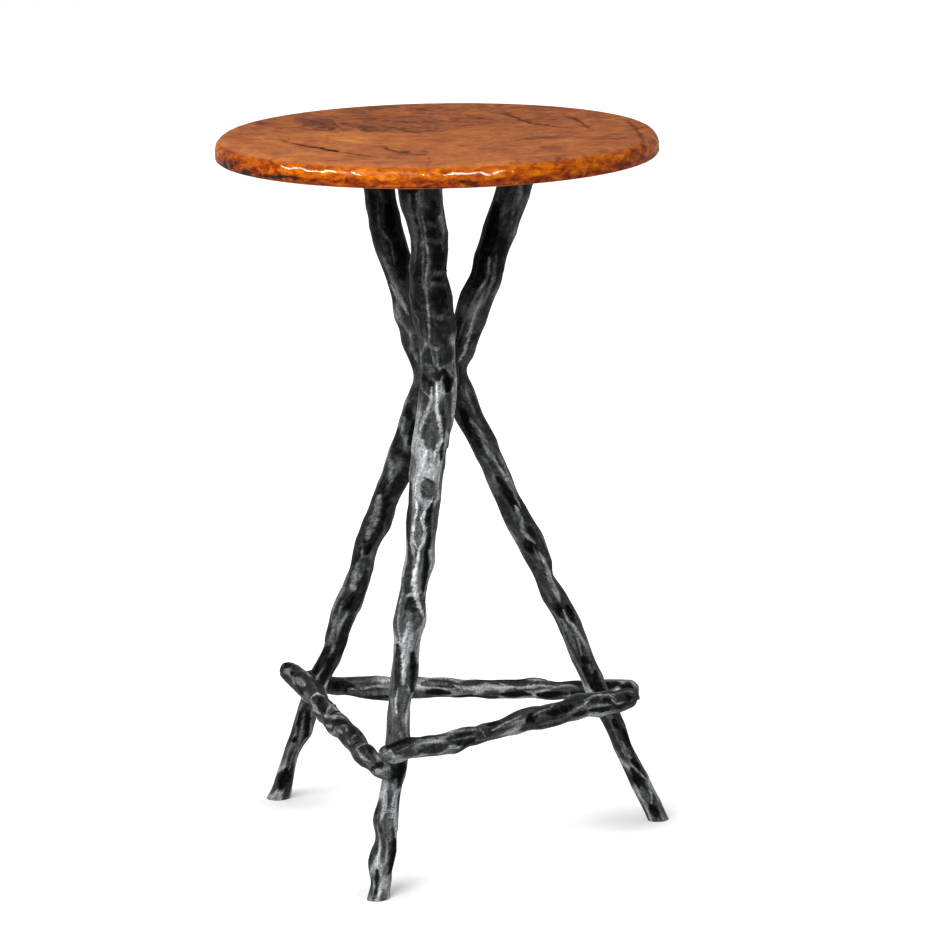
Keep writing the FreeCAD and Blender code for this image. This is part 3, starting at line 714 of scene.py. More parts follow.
def weld_bead(name, start, end, radii, ripples, rng):
    """A bead of weld metal along a straight root: rings whose radius follows a table of shares of the way
    and radii, with arched ripples where the weld pool set."""
    ripple_pitch, ripple = ripples
    length = np.linalg.norm(end - start)
    axis = (end - start) / length
    side = unit(np.cross(axis, bead_spoke_guide))
    across = np.cross(axis, side)
    share = np.linspace(0, 1, bead_rings)
    way = share[:, None] * length
    middle_share = np.sin(math.pi * share)[:, None]
    bearings = full_turn(bead_spokes)
    rows = np.array(radii)
    radius = eased(rows[:, 0], rows[:, 1], share)[:, None]
    arch = way / ripple_pitch + 0.35 * np.cos(2 * bearings + rng.uniform(0, 6.28))
    pool = ripple * np.abs(np.sin(math.pi * arch)) * middle_share
    uneven = 0.5 * ripple * soft_waves(rng, 8, bead_wave_pitch, way, bearings * radius)
    radius = radius + (pool + uneven) * middle_share
    spokes = np.cos(bearings)[:, None] * side + np.sin(bearings)[:, None] * across
    middles = start + axis * way
    bead = closed_tube(name, middles[:, None, :] + spokes * radius[:, :, None], start, end, {
        "rub": np.clip(0.06 + 0.16 * pool / ripple, 0, 1),
        "straight": ring_points(radius, bearings, way[:, 0]),
    })
    bead.data.materials.append(iron)
    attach(bead, "root")
    return bead


for number, (name, pair) in enumerate(waist_weld_pairs.items()):
    middle = (leg_at(pair[0], waist_height)[0] + leg_at(pair[1], waist_height)[0]) / 2
    root = middle + unit(middle * (1, 1, 0)) * waist_weld_radius
    rise = np.array((0, 0, waist_weld_length / 2))
    bead = weld_bead("waist_bead_" + name, root - rise, root + rise, waist_bead_radii, waist_bead_ripples,
                     np.random.default_rng(waist_weld_seed + number))
    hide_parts("waist_weld_" + name)

# Stretchers: three shorter bars of the same iron, laid outside the legs and welded to them.
# Each is a little higher at one end, so that at the corners one passes over the next.
# Their free ends are hammered round.
weld_root_gap = 0.0014
stretcher_rings = 320
stretcher_spokes = 72
stretcher_knob_size = 0.0006
stretcher_seed = 520

# Share of the length, lift and outward wander of the bar's middle, and its height and depth,
# the last four as shares of the stretcher's thickness
left_stretcher_shares = (
    (0.000, 0.00, 0.14, 0.52, 0.50), (0.010, 0.00, 0.13, 0.84, 0.80), (0.035, 0.00, 0.10, 0.98, 0.98),
    (0.100, 0.02, 0.00, 1.02, 1.00), (0.180, 0.08, 0.00, 1.04, 1.00), (0.270, 0.10, -0.04, 0.98, 1.02),
    (0.340, 0.03, 0.02, 1.02, 0.96), (0.420, -0.06, 0.06, 1.00, 1.06), (0.500, -0.06, 0.02, 1.02, 0.96),
    (0.580, -0.04, 0.00, 0.94, 1.00), (0.660, -0.07, 0.00, 1.02, 0.96), (0.750, -0.10, 0.02, 0.96, 1.00),
    (0.830, -0.06, 0.03, 1.02, 0.92), (0.910, -0.02, -0.02, 1.00, 0.76), (0.950, 0.00, -0.10, 0.96, 0.66),
    (0.980, 0.00, -0.24, 0.88, 0.44), (1.000, 0.00, -0.34, 0.70, 0.22),
)
front_stretcher_shares = (
    (0.000, 0.00, 0.00, 0.54, 0.56), (0.012, 0.00, 0.00, 0.76, 0.80), (0.050, 0.00, 0.00, 0.84, 0.92),
    (0.110, -0.02, 0.00, 0.90, 1.00), (0.190, -0.08, 0.03, 0.96, 0.98), (0.260, -0.11, 0.05, 1.00, 0.92),
    (0.340, -0.06, 0.02, 0.88, 1.00), (0.420, -0.02, -0.03, 0.82, 1.02), (0.500, 0.06, -0.04, 0.98, 0.96),
    (0.580, 0.13, 0.00, 1.08, 0.94), (0.650, 0.14, 0.04, 1.00, 1.02), (0.730, 0.18, 0.02, 1.08, 1.04),
    (0.800, 0.13, 0.00, 1.06, 0.98), (0.870, 0.05, 0.00, 1.08, 1.00), (0.930, 0.00, 0.00, 1.02, 1.00),
    (0.970, 0.00, 0.00, 0.94, 0.94), (0.990, 0.00, 0.00, 0.76, 0.76), (1.000, 0.00, 0.00, 0.46, 0.46),
)
rear_stretcher_shares = (
    (0.000, 0.00, 0.00, 0.60, 0.60), (0.015, 0.00, 0.00, 0.84, 0.88), (0.050, 0.00, 0.00, 0.90, 1.00),
    (0.110, -0.01, 0.00, 0.90, 0.98), (0.170, -0.10, 0.03, 1.12, 1.02), (0.240, -0.13, 0.04, 1.18, 0.96),
    (0.310, -0.10, 0.02, 1.12, 1.00), (0.380, -0.06, 0.00, 1.02, 1.04), (0.450, -0.05, -0.04, 0.98, 1.04),
    (0.530, -0.07, -0.02, 0.90, 0.98), (0.610, -0.05, 0.02, 0.94, 1.00), (0.690, -0.03, 0.04, 0.98, 0.96),
    (0.770, -0.06, 0.02, 0.90, 1.02), (0.850, -0.05, 0.00, 0.96, 1.00), (0.910, 0.00, 0.00, 1.04, 1.02),
    (0.960, 0.00, 0.00, 1.02, 1.00), (0.988, 0.00, 0.00, 0.82, 0.80), (1.000, 0.00, 0.00, 0.48, 0.46),
)

# Legs that each stretcher joins, height of its axis at each, how far it runs past each, its thickness,
# and which way round its outer side lies
stretcher_sizes = {
    "front": {"legs": ("front", "right"), "heights": (0.1193, 0.1124), "ends": (0.037, 0.0205),
              "thickness": 0.0185, "shares": front_stretcher_shares, "outside": 1},
    "left": {"legs": ("left", "front"), "heights": (0.1184, 0.1060), "ends": (0.0295, 0.0275),
             "thickness": 0.018, "shares": left_stretcher_shares, "outside": 1},
    "rear": {"legs": ("left", "right"), "heights": (0.1063, 0.1154), "ends": (0.011, 0.029),
             "thickness": 0.017, "shares": rear_stretcher_shares, "outside": -1},
}


def stretcher_line(sizes):
    """Ends, outward direction and two seats of a stretcher, and the legs' middles behind the seats."""
    rows = np.array(sizes["shares"])
    (start, start_half), (end, end_half) = [leg_at(*seat) for seat in zip(sizes["legs"], sizes["heights"])]
    flat = (end - start) * (1, 1, 0)
    outward = unit(np.cross(flat, (0, 0, 1)) * sizes["outside"])
    length = np.linalg.norm(end - start) + sum(sizes["ends"])
    half = sizes["thickness"] / 2
    start_depth = half * np.interp(sizes["ends"][0] / length, rows[:, 0], rows[:, 4])
    end_depth = half * np.interp(1 - sizes["ends"][1] / length, rows[:, 0], rows[:, 4])
    seat_start = start + outward * (start_half + start_depth + weld_root_gap)
    seat_end = end + outward * (end_half + end_depth + weld_root_gap)
    along = unit(seat_end - seat_start)
    line = (seat_start - along * sizes["ends"][0], seat_end + along * sizes["ends"][1])
    return line, outward, ((start, seat_start), (end, seat_end))


# Marks of the stretchers seen in the picture: flats and rubs as on the legs
left_stretcher_flats_px = (
    (286, 664.5, 289.5, 667, 3.5, 0.00), (291, 672, 299, 675, 3.0, 0.00), (298, 685, 303.5, 693, 4.0, 0.02),
    (320, 698, 325, 710, 5.0, 0.03), (330.3, 712.2, 343, 713.4, 2.5, 0.00),
    (333.2, 722.6, 345.3, 723.7, 4.5, 0.00), (340.7, 735, 345.3, 743, 4.5, 0.18),
    (350, 725, 354, 733, 3.0, 0.03), (353.3, 744.4, 366, 741.5, 2.5, 0.00),
    (352, 749.5, 359.5, 757.5, 3.5, 0.26), (361, 747, 364.5, 753, 2.0, 0.05),
    (367, 745, 372, 752, 2.5, 0.03), (361.5, 761, 371, 767, 4.0, 0.30), (376, 764, 384, 770, 4.0, 0.05),
    (372, 773, 390, 776, 1.2, 0.00),
)
left_stretcher_rubs_px = (
    (((285.5, 670), (291, 669)), 1.5, 0.55), (((296.2, 678), (306, 686)), 3.8, 0.62),
    (((311.4, 699), (316.8, 693), (324.4, 696.4)), 1.5, 0.95),
    (((311.4, 699.7), (313.6, 709.4), (320, 713.8)), 1.9, 0.75), (((325.5, 714), (335.3, 706)), 2.0, 0.70),
    (((323.5, 714), (327, 716.5)), 2.8, 0.65), (((329.8, 715), (344.7, 718.8)), 1.4, 0.80),
    (((327.5, 725.4), (333.8, 727)), 2.2, 0.55), (((337, 730), (343, 732.5)), 2.2, 0.62),
    (((346, 728), (348, 732)), 1.3, 0.62), (((352, 738.6), (356.7, 735.2)), 2.4, 0.52),
    (((347.6, 739.8), (350.4, 744)), 1.5, 0.62), (((355.6, 748.4), (366, 745)), 2.0, 0.62),
    (((355.6, 748.4), (362.5, 757), (368.8, 760.4)), 1.6, 0.68), (((374.5, 771), (389, 770)), 2.4, 0.60),
    (((373.4, 775.6), (387.7, 779)), 1.6, 0.55),
    (((305, 700), (314, 716), (328, 734), (343, 752), (356, 768)), 1.6, 0.42),
)
front_stretcher_flats_px = (
    (382, 752, 386, 760, 5.0, 0.38), (388, 747.5, 424, 737.5, 3.0, 0.00), (435, 739, 438, 738.6, 1.0, 0.00),
    (420, 750, 448, 746.8, 4.0, 0.18), (457.3, 736, 470.7, 734, 1.6, 0.00),
    (456.6, 743, 473.2, 741, 3.5, 0.08), (488, 724.5, 499, 721, 3.0, 0.00), (527, 721, 536, 716, 4.0, 0.00),
    (550, 713, 572, 706, 4.0, 0.00), (588, 701, 598, 698, 3.0, 0.15), (604, 700, 609, 700, 2.0, 0.02),
    (625, 696.5, 631, 698, 3.0, 0.00), (590, 711, 608, 709, 2.0, 0.04), (615, 707, 626, 705, 2.2, 0.03),
    (572, 715, 586, 712, 2.6, 0.04),
)
front_stretcher_rubs_px = (
    (((385.2, 752), (389, 755.7)), 0.9, 0.62), (((390.3, 750), (393.5, 755.7), (388, 761)), 1.1, 0.66),
    (((396, 752), (410.7, 745.5), (418.4, 741.7), (431, 738.5), (439, 737)), 1.3, 0.48),
    (((411, 748.5), (431, 743.6)), 3.0, 0.45),
    (((408, 756.4), (426, 754.4), (445, 752), (451, 747.4), (450.3, 742)), 1.1, 0.40),
    (((447, 736.8), (458, 732.8), (474.5, 730.6), (483, 732)), 1.3, 0.60),
    (((451.5, 741), (460, 738.5), (474.5, 736.6)), 1.2, 0.48), (((479, 729), (484.5, 736.5)), 2.0, 0.60),
    (((492, 730.4), (508, 721.6), (521, 715.8)), 1.5, 0.80), (((503, 728), (520, 720)), 3.2, 0.48),
    (((533, 716), (549, 708.4), (555, 702.8)), 1.3, 0.60),
    (((537.4, 724.5), (552, 721.6), (566.7, 717)), 2.2, 0.42),
    (((566.7, 714.3), (582.8, 705.5), (593, 695.5), (604.8, 694.5), (615, 695.2)), 1.2, 0.68),
    (((581.4, 710), (592, 706), (603, 704.5), (611, 705)), 1.6, 0.55),
    (((611, 700), (617, 704), (624, 702)), 1.5, 0.55),
    (((584, 701), (597, 695), (609, 695.5), (616, 700)), 1.5, 0.62),
    (((616, 695), (626, 691.5), (633, 693)), 1.4, 0.42), (((619, 711), (629, 707), (635, 701)), 1.4, 0.34),
)
rear_stretcher_flats_px = (
    (427, 691.5, 448.6, 692.5, 3.4, 0.04), (347, 695.5, 388, 695.7, 2.5, 0.03),
    (502, 694, 530, 694.5, 3.0, 0.05), (538, 694, 566, 693.7, 3.0, 0.04), (455, 696, 497, 696.5, 2.2, 0.06),
    (572, 693, 596, 693, 3.0, 0.08), (478, 680, 546, 680.3, 1.5, 0.03), (335, 686, 352, 688, 5.0, 0.07),
    (422.7, 684, 447.7, 684, 3.0, 0.34), (550, 681, 592, 683, 2.4, 0.06), (606, 685, 618, 684, 4.5, 0.08),
    (622, 686, 632, 688, 5.0, 0.05),
)
rear_stretcher_rubs_px = (
    (((371.8, 682.3), (377, 680.5), (388.8, 681.4)), 1.2, 0.50),
    (((348.6, 688.6), (358.4, 689.5), (377, 686), (388, 687.7)), 1.3, 0.60),
    (((347.7, 690.5), (357.5, 693)), 2.0, 0.36), (((419, 681.4), (431.6, 679.8)), 1.0, 0.45),
    (((417.3, 691), (427, 689.5)), 1.0, 0.45),
    (((453.5, 685), (464, 688), (486, 688), (496.3, 686.4)), 2.6, 0.80),
    (((499.2, 683.5), (516.8, 688), (541.8, 686.4), (566.7, 687)), 1.8, 0.66),
    (((622, 681.5), (633, 684), (636, 690)), 0.9, 0.34),
)
stretcher_marks_px = {
    "front": (front_stretcher_flats_px, front_stretcher_rubs_px),
    "left": (left_stretcher_flats_px, left_stretcher_rubs_px),
    "rear": (rear_stretcher_flats_px, rear_stretcher_rubs_px),
}

# How worn each stretcher is
stretcher_wear_shares = {"front": 1.3, "left": 0.88, "rear": 1.7}
for number, (name, sizes) in enumerate(stretcher_sizes.items()):
    rng = np.random.default_rng(stretcher_seed + number)
    (start, end), outward, _ = stretcher_line(sizes)
    along = unit(end - start)
    upward = np.cross(outward, along)
    upward = upward * math.copysign(1.0, upward[2])
    rows = np.array(sizes["shares"])
    share = (1 - np.cos(np.linspace(0, math.pi, stretcher_rings))) / 2
    share = 0.25 * share + 0.75 * np.linspace(0, 1, stretcher_rings)
    lift, out, tall, deep = eased(rows[:, 0], rows[:, 1:], share).T * sizes["thickness"]
    middles = start + (end - start) * share[:, None] + lift[:, None] * upward + out[:, None] * outward
    sense = 1 if np.dot(np.cross(outward, upward), along) > 0 else -1
    bearings = full_turn(stretcher_spokes) * sense
    spokes = (np.cos(bearings)[None, :, None] * outward * deep[:, None, None] / 2
              + np.sin(bearings)[None, :, None] * upward * tall[:, None, None] / 2)
    wear = stretcher_wear_shares[name]
    bar = forged_bar("stretcher_bar_" + name, middles, spokes, (tall + deep) / 4, rng,
                     lambda share: np.full_like(share, wear), stretcher_knob_size, stretcher_marks_px[name])
    bar.data.materials.append(iron)
    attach(bar, "root")
    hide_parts("stretcher_" + name)

# Stretcher welds: six short fillets of weld metal, one wherever a stretcher lies against a leg.
# Each is hollow at its middle, spreads over both bars and is blackened with them.
stretcher_bead_radii = ((0.0, 0.0088), (0.25, 0.0074), (0.5, 0.0062), (0.75, 0.0068), (1.0, 0.0076))
stretcher_bead_ripples = (0.0026, 0.0003)
stretcher_weld_seed = 640

# How far from the leg's middle and from the stretcher's middle a bead ends
leg_inset = 0.003
stretcher_inset = 0.002
for number, (name, sizes) in enumerate(stretcher_sizes.items()):
    _, _, seats = stretcher_line(sizes)
    for leg_name, (leg_middle, seat) in zip(sizes["legs"], seats):
        toward = unit(seat - leg_middle)
        bead = weld_bead("stretcher_bead_" + name + "_" + leg_name, leg_middle + toward * leg_inset,
                         seat - toward * stretcher_inset, stretcher_bead_radii, stretcher_bead_ripples,
                         np.random.default_rng(stretcher_weld_seed + number))
        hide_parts("stretcher_" + name + "_weld_" + leg_name)

# Plate: a round of 5 mm steel plate under the slab, flame cut and sprayed satin black.
# The legs' heads are welded to its underside, and six screws go up through it.
paint_relief = 0.0003


def sprayed_steel(name):
    """Satin black paint with a fine orange peel and a few scuffs that show grey."""
    material, tree, surface = new_material(name)
    place = shader_node(tree, "ShaderNodeTexCoord").outputs["Object"]
    scuff = noise(tree, place, 60.0, 6.0)
    scuffed = smooth_range(tree, scuff, 0.60, 0.72)
    fill_sockets(tree, surface, {
        "Base Color": mix_colours(tree, scuffed, (0.012, 0.012, 0.013, 1.0), (0.060, 0.060, 0.062, 1.0)),
        "Roughness": value_range(tree, scuff, 0.0, 1.0, 0.40, 0.58),
        "Specular IOR Level": 0.4,
        "Normal": bump(tree, noise(tree, place, 900.0, 2.0), 0.25, paint_relief),
    })
    return material


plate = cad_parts["top_plate"]
plate.data.materials.clear()
plate.data.materials.append(sprayed_steel("sprayed_steel"))

# Plate welds: a fillet run round each leg's head where it meets the plate.
# It slopes at about 45 degrees and shows the ripples of the weld pool.
plate_weld_leg = 0.006
plate_weld_root_share = 0.6
plate_weld_ripple = 0.0004
fillet_rings = 25
fillet_spokes = 144
for name, (middles, halves) in legs.items():
    head = middles[-1] * (1, 1, 0)
    inner = halves[-1] * plate_weld_root_share
    outer = halves[-1] + plate_weld_leg
    bearings = full_turn(fillet_spokes)
    share = np.linspace(0, 1, fillet_rings)
    waves = np.abs(np.sin(bearings * 14 + 1.3 * share[:, None])) * np.sin(math.pi * share)[:, None]
    radius = inner + (outer - inner) * share[:, None] + plate_weld_ripple * waves
    height = head_height - (outer - inner) * (1 - share)
    straight = ring_points(radius, bearings, height)
    low_pole, high_pole = [head + (0, 0, level) for level in (height[0], height[-1])]
    fillet = closed_tube("plate_fillet_" + name, head + straight, low_pole, high_pole, {
        "rub": np.clip(0.08 + 0.3 * waves, 0, 1),
        "straight": straight,
    })
    fillet.data.materials.append(iron)
    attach(fillet, "root")
    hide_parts("plate_weld_" + name)

# Screws: six wood screws with pan heads, pressed from steel wire and plated with zinc.
# They are driven up through the plate into the slab.


def zinc_plate(name):
    """Bright zinc with a faint cloudiness."""
    material, tree, surface = new_material(name)
    place = shader_node(tree, "ShaderNodeTexCoord").outputs["Object"]
    cloud = noise(tree, place, 700.0, 4.0)
    fill_sockets(tree, surface, {
        "Base Color": mix_colours(tree, cloud, (0.42, 0.43, 0.44, 1.0), (0.66, 0.67, 0.68, 1.0)),
        "Metallic": 1.0,
        "Roughness": value_range(tree, cloud, 0.0, 1.0, 0.22, 0.40),
    })
    return material


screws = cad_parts["plate_screws"]
screws.data.materials.clear()
screws.data.materials.append(zinc_plate("zinc_plate"))

# Slab: one round piece of figured wood under a thick amber lacquer.
# Its upper edge is worked to a soft, slightly rippled round, and its natural checks are left showing.
top_low, top_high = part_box("table_top")
top_radius = (top_high.x - top_low.x) / 2
upper_round = 0.011
lower_round = 0.003
slab_spokes = 640
slab_seed = 77
wood_relief = 0.0009

# Ripples in the rim: waves in a full turn, turn of the wave for a metre of height, and size
slab_ripples = (
    (9, 120, 0.00018), (23, -260, 0.00015), (41, 520, 0.00012), (53, -640, 0.00011), (67, 430, 0.00011),
    (101, -300, 0.00008), (149, 200, 0.00006),
)

# Centre of the growth rings that the figure follows, behind the slab's middle, and the band of depths over
# which the wood darkens towards the rear
pith = np.array((0.02, 0.27))
rear_band = (-0.02, 0.15)

# Front edge of the dark stain across the rear of the slab, and the places of lighter and darker areas:
# middle, half width, half height and how much lighter or darker
stain_edge_px = (
    (296, 127), (310, 129), (322, 131), (331, 131), (337, 127), (343, 131.5), (352, 132), (357, 129),
    (363, 132.5), (385, 133), (424, 133.5), (445, 131), (470, 127),
)
stain_left_px = (294, 306)
stain_right_px = (420, 530)
areas_px = (
    ((347, 138), 34, 6, 0.36), ((300, 155), 60, 14, 0.16), ((255, 140), 30, 10, 0.14),
    ((337, 122.5), 4, 1.8, 0.42), ((350, 126), 9, 2.6, 0.22), ((327, 139), 1.6, 3.5, -0.28),
    ((405, 152), 26, 3.5, -0.10), ((424, 152), 5, 2.5, -0.30), ((560, 142), 70, 20, -0.02),
    ((535, 137), 19, 2.2, -0.24), ((496, 149), 14, 3.0, -0.20), ((520, 108), 70, 7, -0.02),
    ((600, 150), 40, 10, -0.02), ((262, 124), 12, 3.0, -0.30), ((470, 150), 50, 16, 0.14),
    ((323, 123), 14, 5, -0.16),
)

# Checks in the wood: how deep they are cut, and how far from the middle their sides start and end, their
# colour and its shade fade, and all of it stops
check_depth = 0.0007
check_sides = (0.0006, 0.0034)
check_dark_sides = (0.0006, 0.0030)
check_shade_sides = (0.0005, 0.005)
check_limits = (0.005, 0.007)

# How far checks wander sideways and in depth, and over what length, then the corners of each check and how
# deep it shows
check_wander = (0.0007, 0.0013)
check_wander_pitch = 0.024
checks_px = (
    (((230, 140.6), (252, 139.2), (272, 139.9), (281, 140.6)), 0.30),
    (((281, 140.6), (292, 142.7), (303.8, 145.6), (324.4, 148.5), (339, 151.5), (350.8, 152.9), (375, 157)),
     1.0),
    (((293, 127), (312, 129.5), (331, 131)), 0.55), (((331, 119.5), (337, 126), (331, 131)), 0.6),
    (((361, 126), (365.7, 130.4), (370, 132)), 0.55),
    (((381, 125.6), (391, 127.3), (402, 129.4), (423, 133.6)), 0.7),
    (((383, 146), (388, 149), (395, 151), (404.5, 152.3), (411, 154)), 0.6),
    (((422, 151), (428, 151.4)), 0.6), (((422, 154.3), (426, 154.6)), 0.5),
    (((379, 143.4), (383, 143)), 0.4), (((390, 155), (389, 158)), 0.3),
    (((429, 157), (429.5, 161), (427, 167)), 0.28), (((335, 121), (346, 123.3), (353, 124)), 0.4),
    (((505, 113), (531, 123), (553, 125.5), (574, 128.5)), 0.8),
    (((566, 116), (580, 121), (592, 129)), 0.75), (((467, 114), (472, 117), (491, 119.5)), 0.5),
    (((626, 119), (636, 128), (644, 142)), 0.6), (((441, 115), (452, 116)), 0.4),
    (((546, 161), (555, 166), (557, 171)), 0.45),
)

# Height on the rim as a share of the slab's thickness, and how golden it is there, from 0 for brown to 1
rim_gold_shares = (
    (0.0, 0.24), (0.06, 0.24), (0.16, 0.33), (0.45, 0.52), (0.72, 0.47), (0.90, 0.44), (1.0, 0.42),
)

# Dark areas on the rim: middle, half width, half height and how dark
rim_areas_px = (
    ((284, 177), 9, 1.6, 0.55), ((298, 178.5), 5, 1.8, 0.60), ((246, 173), 5, 2.0, 0.45),
    ((314, 180), 6, 2.0, 0.35), ((346, 181), 18, 4.5, 0.24), ((470, 182), 26, 3.5, 0.28),
    ((520, 179), 22, 3.5, 0.24), ((562, 169), 8, 5.0, 0.22), ((385, 183), 6, 2.0, 0.30),
    ((420, 182), 12, 3.0, 0.25), ((268, 176), 10, 2.0, 0.40), ((612, 163), 18, 5.0, 0.22),
    ((638, 154), 9, 6.0, 0.30), ((228, 162), 12, 9.0, 0.32), ((345, 172), 40, 3.0, -0.12),
    ((590, 166), 10, 3.5, -0.14), ((255, 168), 26, 7.0, 0.24), ((560, 174), 60, 8.0, 0.06),
)


def slab_profile():
    """Radius, height and outward tilt from the middle of the underside, round the rim, to the middle of
    the top: two level runs, joined by a small quarter circle, an upright and a large quarter circle."""
    inner_share = np.linspace(0.02, 1, 14)
    lower_turn = np.linspace(0, math.pi / 2, 7)[1:]
    upper_turn = np.linspace(0, math.pi / 2, 24)
    face_share = np.linspace(1, 0.012, 96)[1:]
    upright_low = top_low.z + lower_round
    upright_high = top_high.z - upper_round
    upright = np.linspace(upright_low, upright_high, 7)[1:-1]
    lower_sin, lower_cos = np.sin(lower_turn), np.cos(lower_turn)
    upper_sin, upper_cos = np.sin(upper_turn), np.cos(upper_turn)
    runs = (
        (inner_share * (top_radius - lower_round), top_low.z, 0.0),
        (top_radius - lower_round * (1 - lower_sin), top_low.z + lower_round * (1 - lower_cos), lower_sin),
        (top_radius, upright, 1.0),
        (top_radius - upper_round * (1 - upper_cos), upright_high + upper_round * upper_sin, upper_cos),
        (face_share * (top_radius - upper_round), top_high.z, 0.0),
    )
    return np.concatenate([np.stack(np.broadcast_arrays(*run)) for run in runs], axis=1)


def soft_areas(pixels, areas):
    """Sum of soft ovals, each size * exp(-(across / half width)^2 - (down / half height)^2)."""
    total = np.zeros(pixels.shape[:-1])
    for (across, down), half_width, half_height, size in areas:
        share = ((pixels[..., 0] - across) / half_width) ** 2 + ((pixels[..., 1] - down) / half_height) ** 2
        total = total + size * np.exp(-share)
    return total


def check_offsets(points):
    """Level offset of every point from the nearest check, and how deep that check shows there.
    It shows most at the middle of its length, fades towards its ends, and stops away from its line."""
    offset = np.zeros(points.shape[:-1] + (2,))
    nearest = np.full(points.shape[:-1], np.inf)
    shown = np.zeros(points.shape[:-1])
    for corners, depth in checks_px:
        places = [point_at_height(corner, top_high.z)[:2] for corner in corners]
        whole = sum(np.linalg.norm(end - start) for start, end in zip(places, places[1:]))
        travelled = 0.0
        for start, end in zip(places, places[1:]):
            reach = end - start
            share = np.clip(((points - start) @ reach) / (reach @ reach), 0, 1)
            along = (travelled + share * np.linalg.norm(reach)) / whole
            travelled = travelled + np.linalg.norm(reach)
            away = points - start - share[..., None] * reach
            distance = np.linalg.norm(away, axis=-1)
            wins = distance < nearest
            nearest = np.where(wins, distance, nearest)
            offset = np.where(wins[..., None], away, offset)
            taper = np.sqrt(np.sin(math.pi * np.clip(along, 0, 1)))
            shown = np.where(wins, depth * (0.4 + 0.6 * taper), shown)
    return offset, shown * (1 - soft_step(nearest, *check_limits))


radius, height, rim = slab_profile()
rng = np.random.default_rng(slab_seed)
bearings = full_turn(slab_spokes)
ripple = 0.0
for turns, climb, size in slab_ripples:
    phase = turns * bearings + climb * height[:, None] + rng.uniform(0, 2 * math.pi)
    ripple = ripple + size * np.cos(phase)
reach = radius[:, None] + ripple * rim[:, None]
rings = ring_points(reach, bearings, height)
pixels = picture_pixels(rings)

# The face is darker in the stain and towards the rear, and has lighter and darker areas
edge_px = np.array(stain_edge_px)
across_px, down_px = np.moveaxis(pixels, -1, 0)
stained = soft_step(np.interp(across_px, edge_px[:, 0], edge_px[:, 1]) - down_px, -0.5, 1.3)
stained = stained * soft_step(across_px, *stain_left_px) * (1 - soft_step(across_px, *stain_right_px))
rearward = soft_step(rings[..., 1], *rear_band)
gold = 0.45 - 0.08 * rearward - 0.22 * stained * (1 - 0.7 * rearward) + 0.8 * soft_areas(pixels, areas_px)

# The figure runs round the pith, and is drawn together along its rings and in height
from_pith = rings[..., :2] - pith
pith_distance = np.linalg.norm(from_pith, axis=-1)
pith_turn = np.arctan2(from_pith[..., 0], -from_pith[..., 1])
figure = np.stack((pith_turn * pith_distance * 0.70, pith_distance, 0.4 * rings[..., 2]), axis=-1)

# Checks wander off the straight lines between their corners, and are cut into the face
wander = [
    size * soft_waves(rng, 9, check_wander_pitch, rings[..., 0], rings[..., 1]) for size in check_wander
]
offset, shown = check_offsets(rings[..., :2] + np.stack(wander, axis=-1))
upward = np.broadcast_to((height > top_high.z - upper_round * 0.6)[:, None], reach.shape)
groove = 1 - soft_step(np.linalg.norm(offset, axis=-1), *check_sides)
rings[..., 2] = rings[..., 2] - check_depth * shown * upward * groove

thickness_share = (height - top_low.z) / (top_high.z - top_low.z)
rim_rows = np.array(rim_gold_shares)
rim_level = np.interp(thickness_share, rim_rows[:, 0], rim_rows[:, 1])[:, None]
rim_gold = rim_level - soft_areas(pixels, rim_areas_px)
slab = closed_tube("slab", rings, (0, 0, top_low.z), (0, 0, top_high.z), {
    "rim": np.broadcast_to(rim[:, None], reach.shape),
    "gold": gold,
    "rim_gold": rim_gold,
    "figure": figure,
    "check": np.concatenate((offset, (shown * upward)[..., None]), axis=-1),
})


def colour_steps(tree, value, steps):
    """Output of a colour that goes through steps, each a place from 0 to 1, and red, green and blue."""
    made = shader_node(tree, "ShaderNodeValToRGB", {"Fac": value})
    elements = made.color_ramp.elements
    while len(elements) < len(steps):
        elements.new(0.5)
    for element, (place, *colour) in zip(elements, steps):
        element.position = place
        element.color = (*colour, 1.0)
    return made.outputs[0]


def moved(tree, level, wave, size):
    """Output of a level that a noise moves up and down."""
    swing = math_node(tree, "MULTIPLY", math_node(tree, "SUBTRACT", wave, 0.5), size)
    return math_node(tree, "ADD", level, swing)


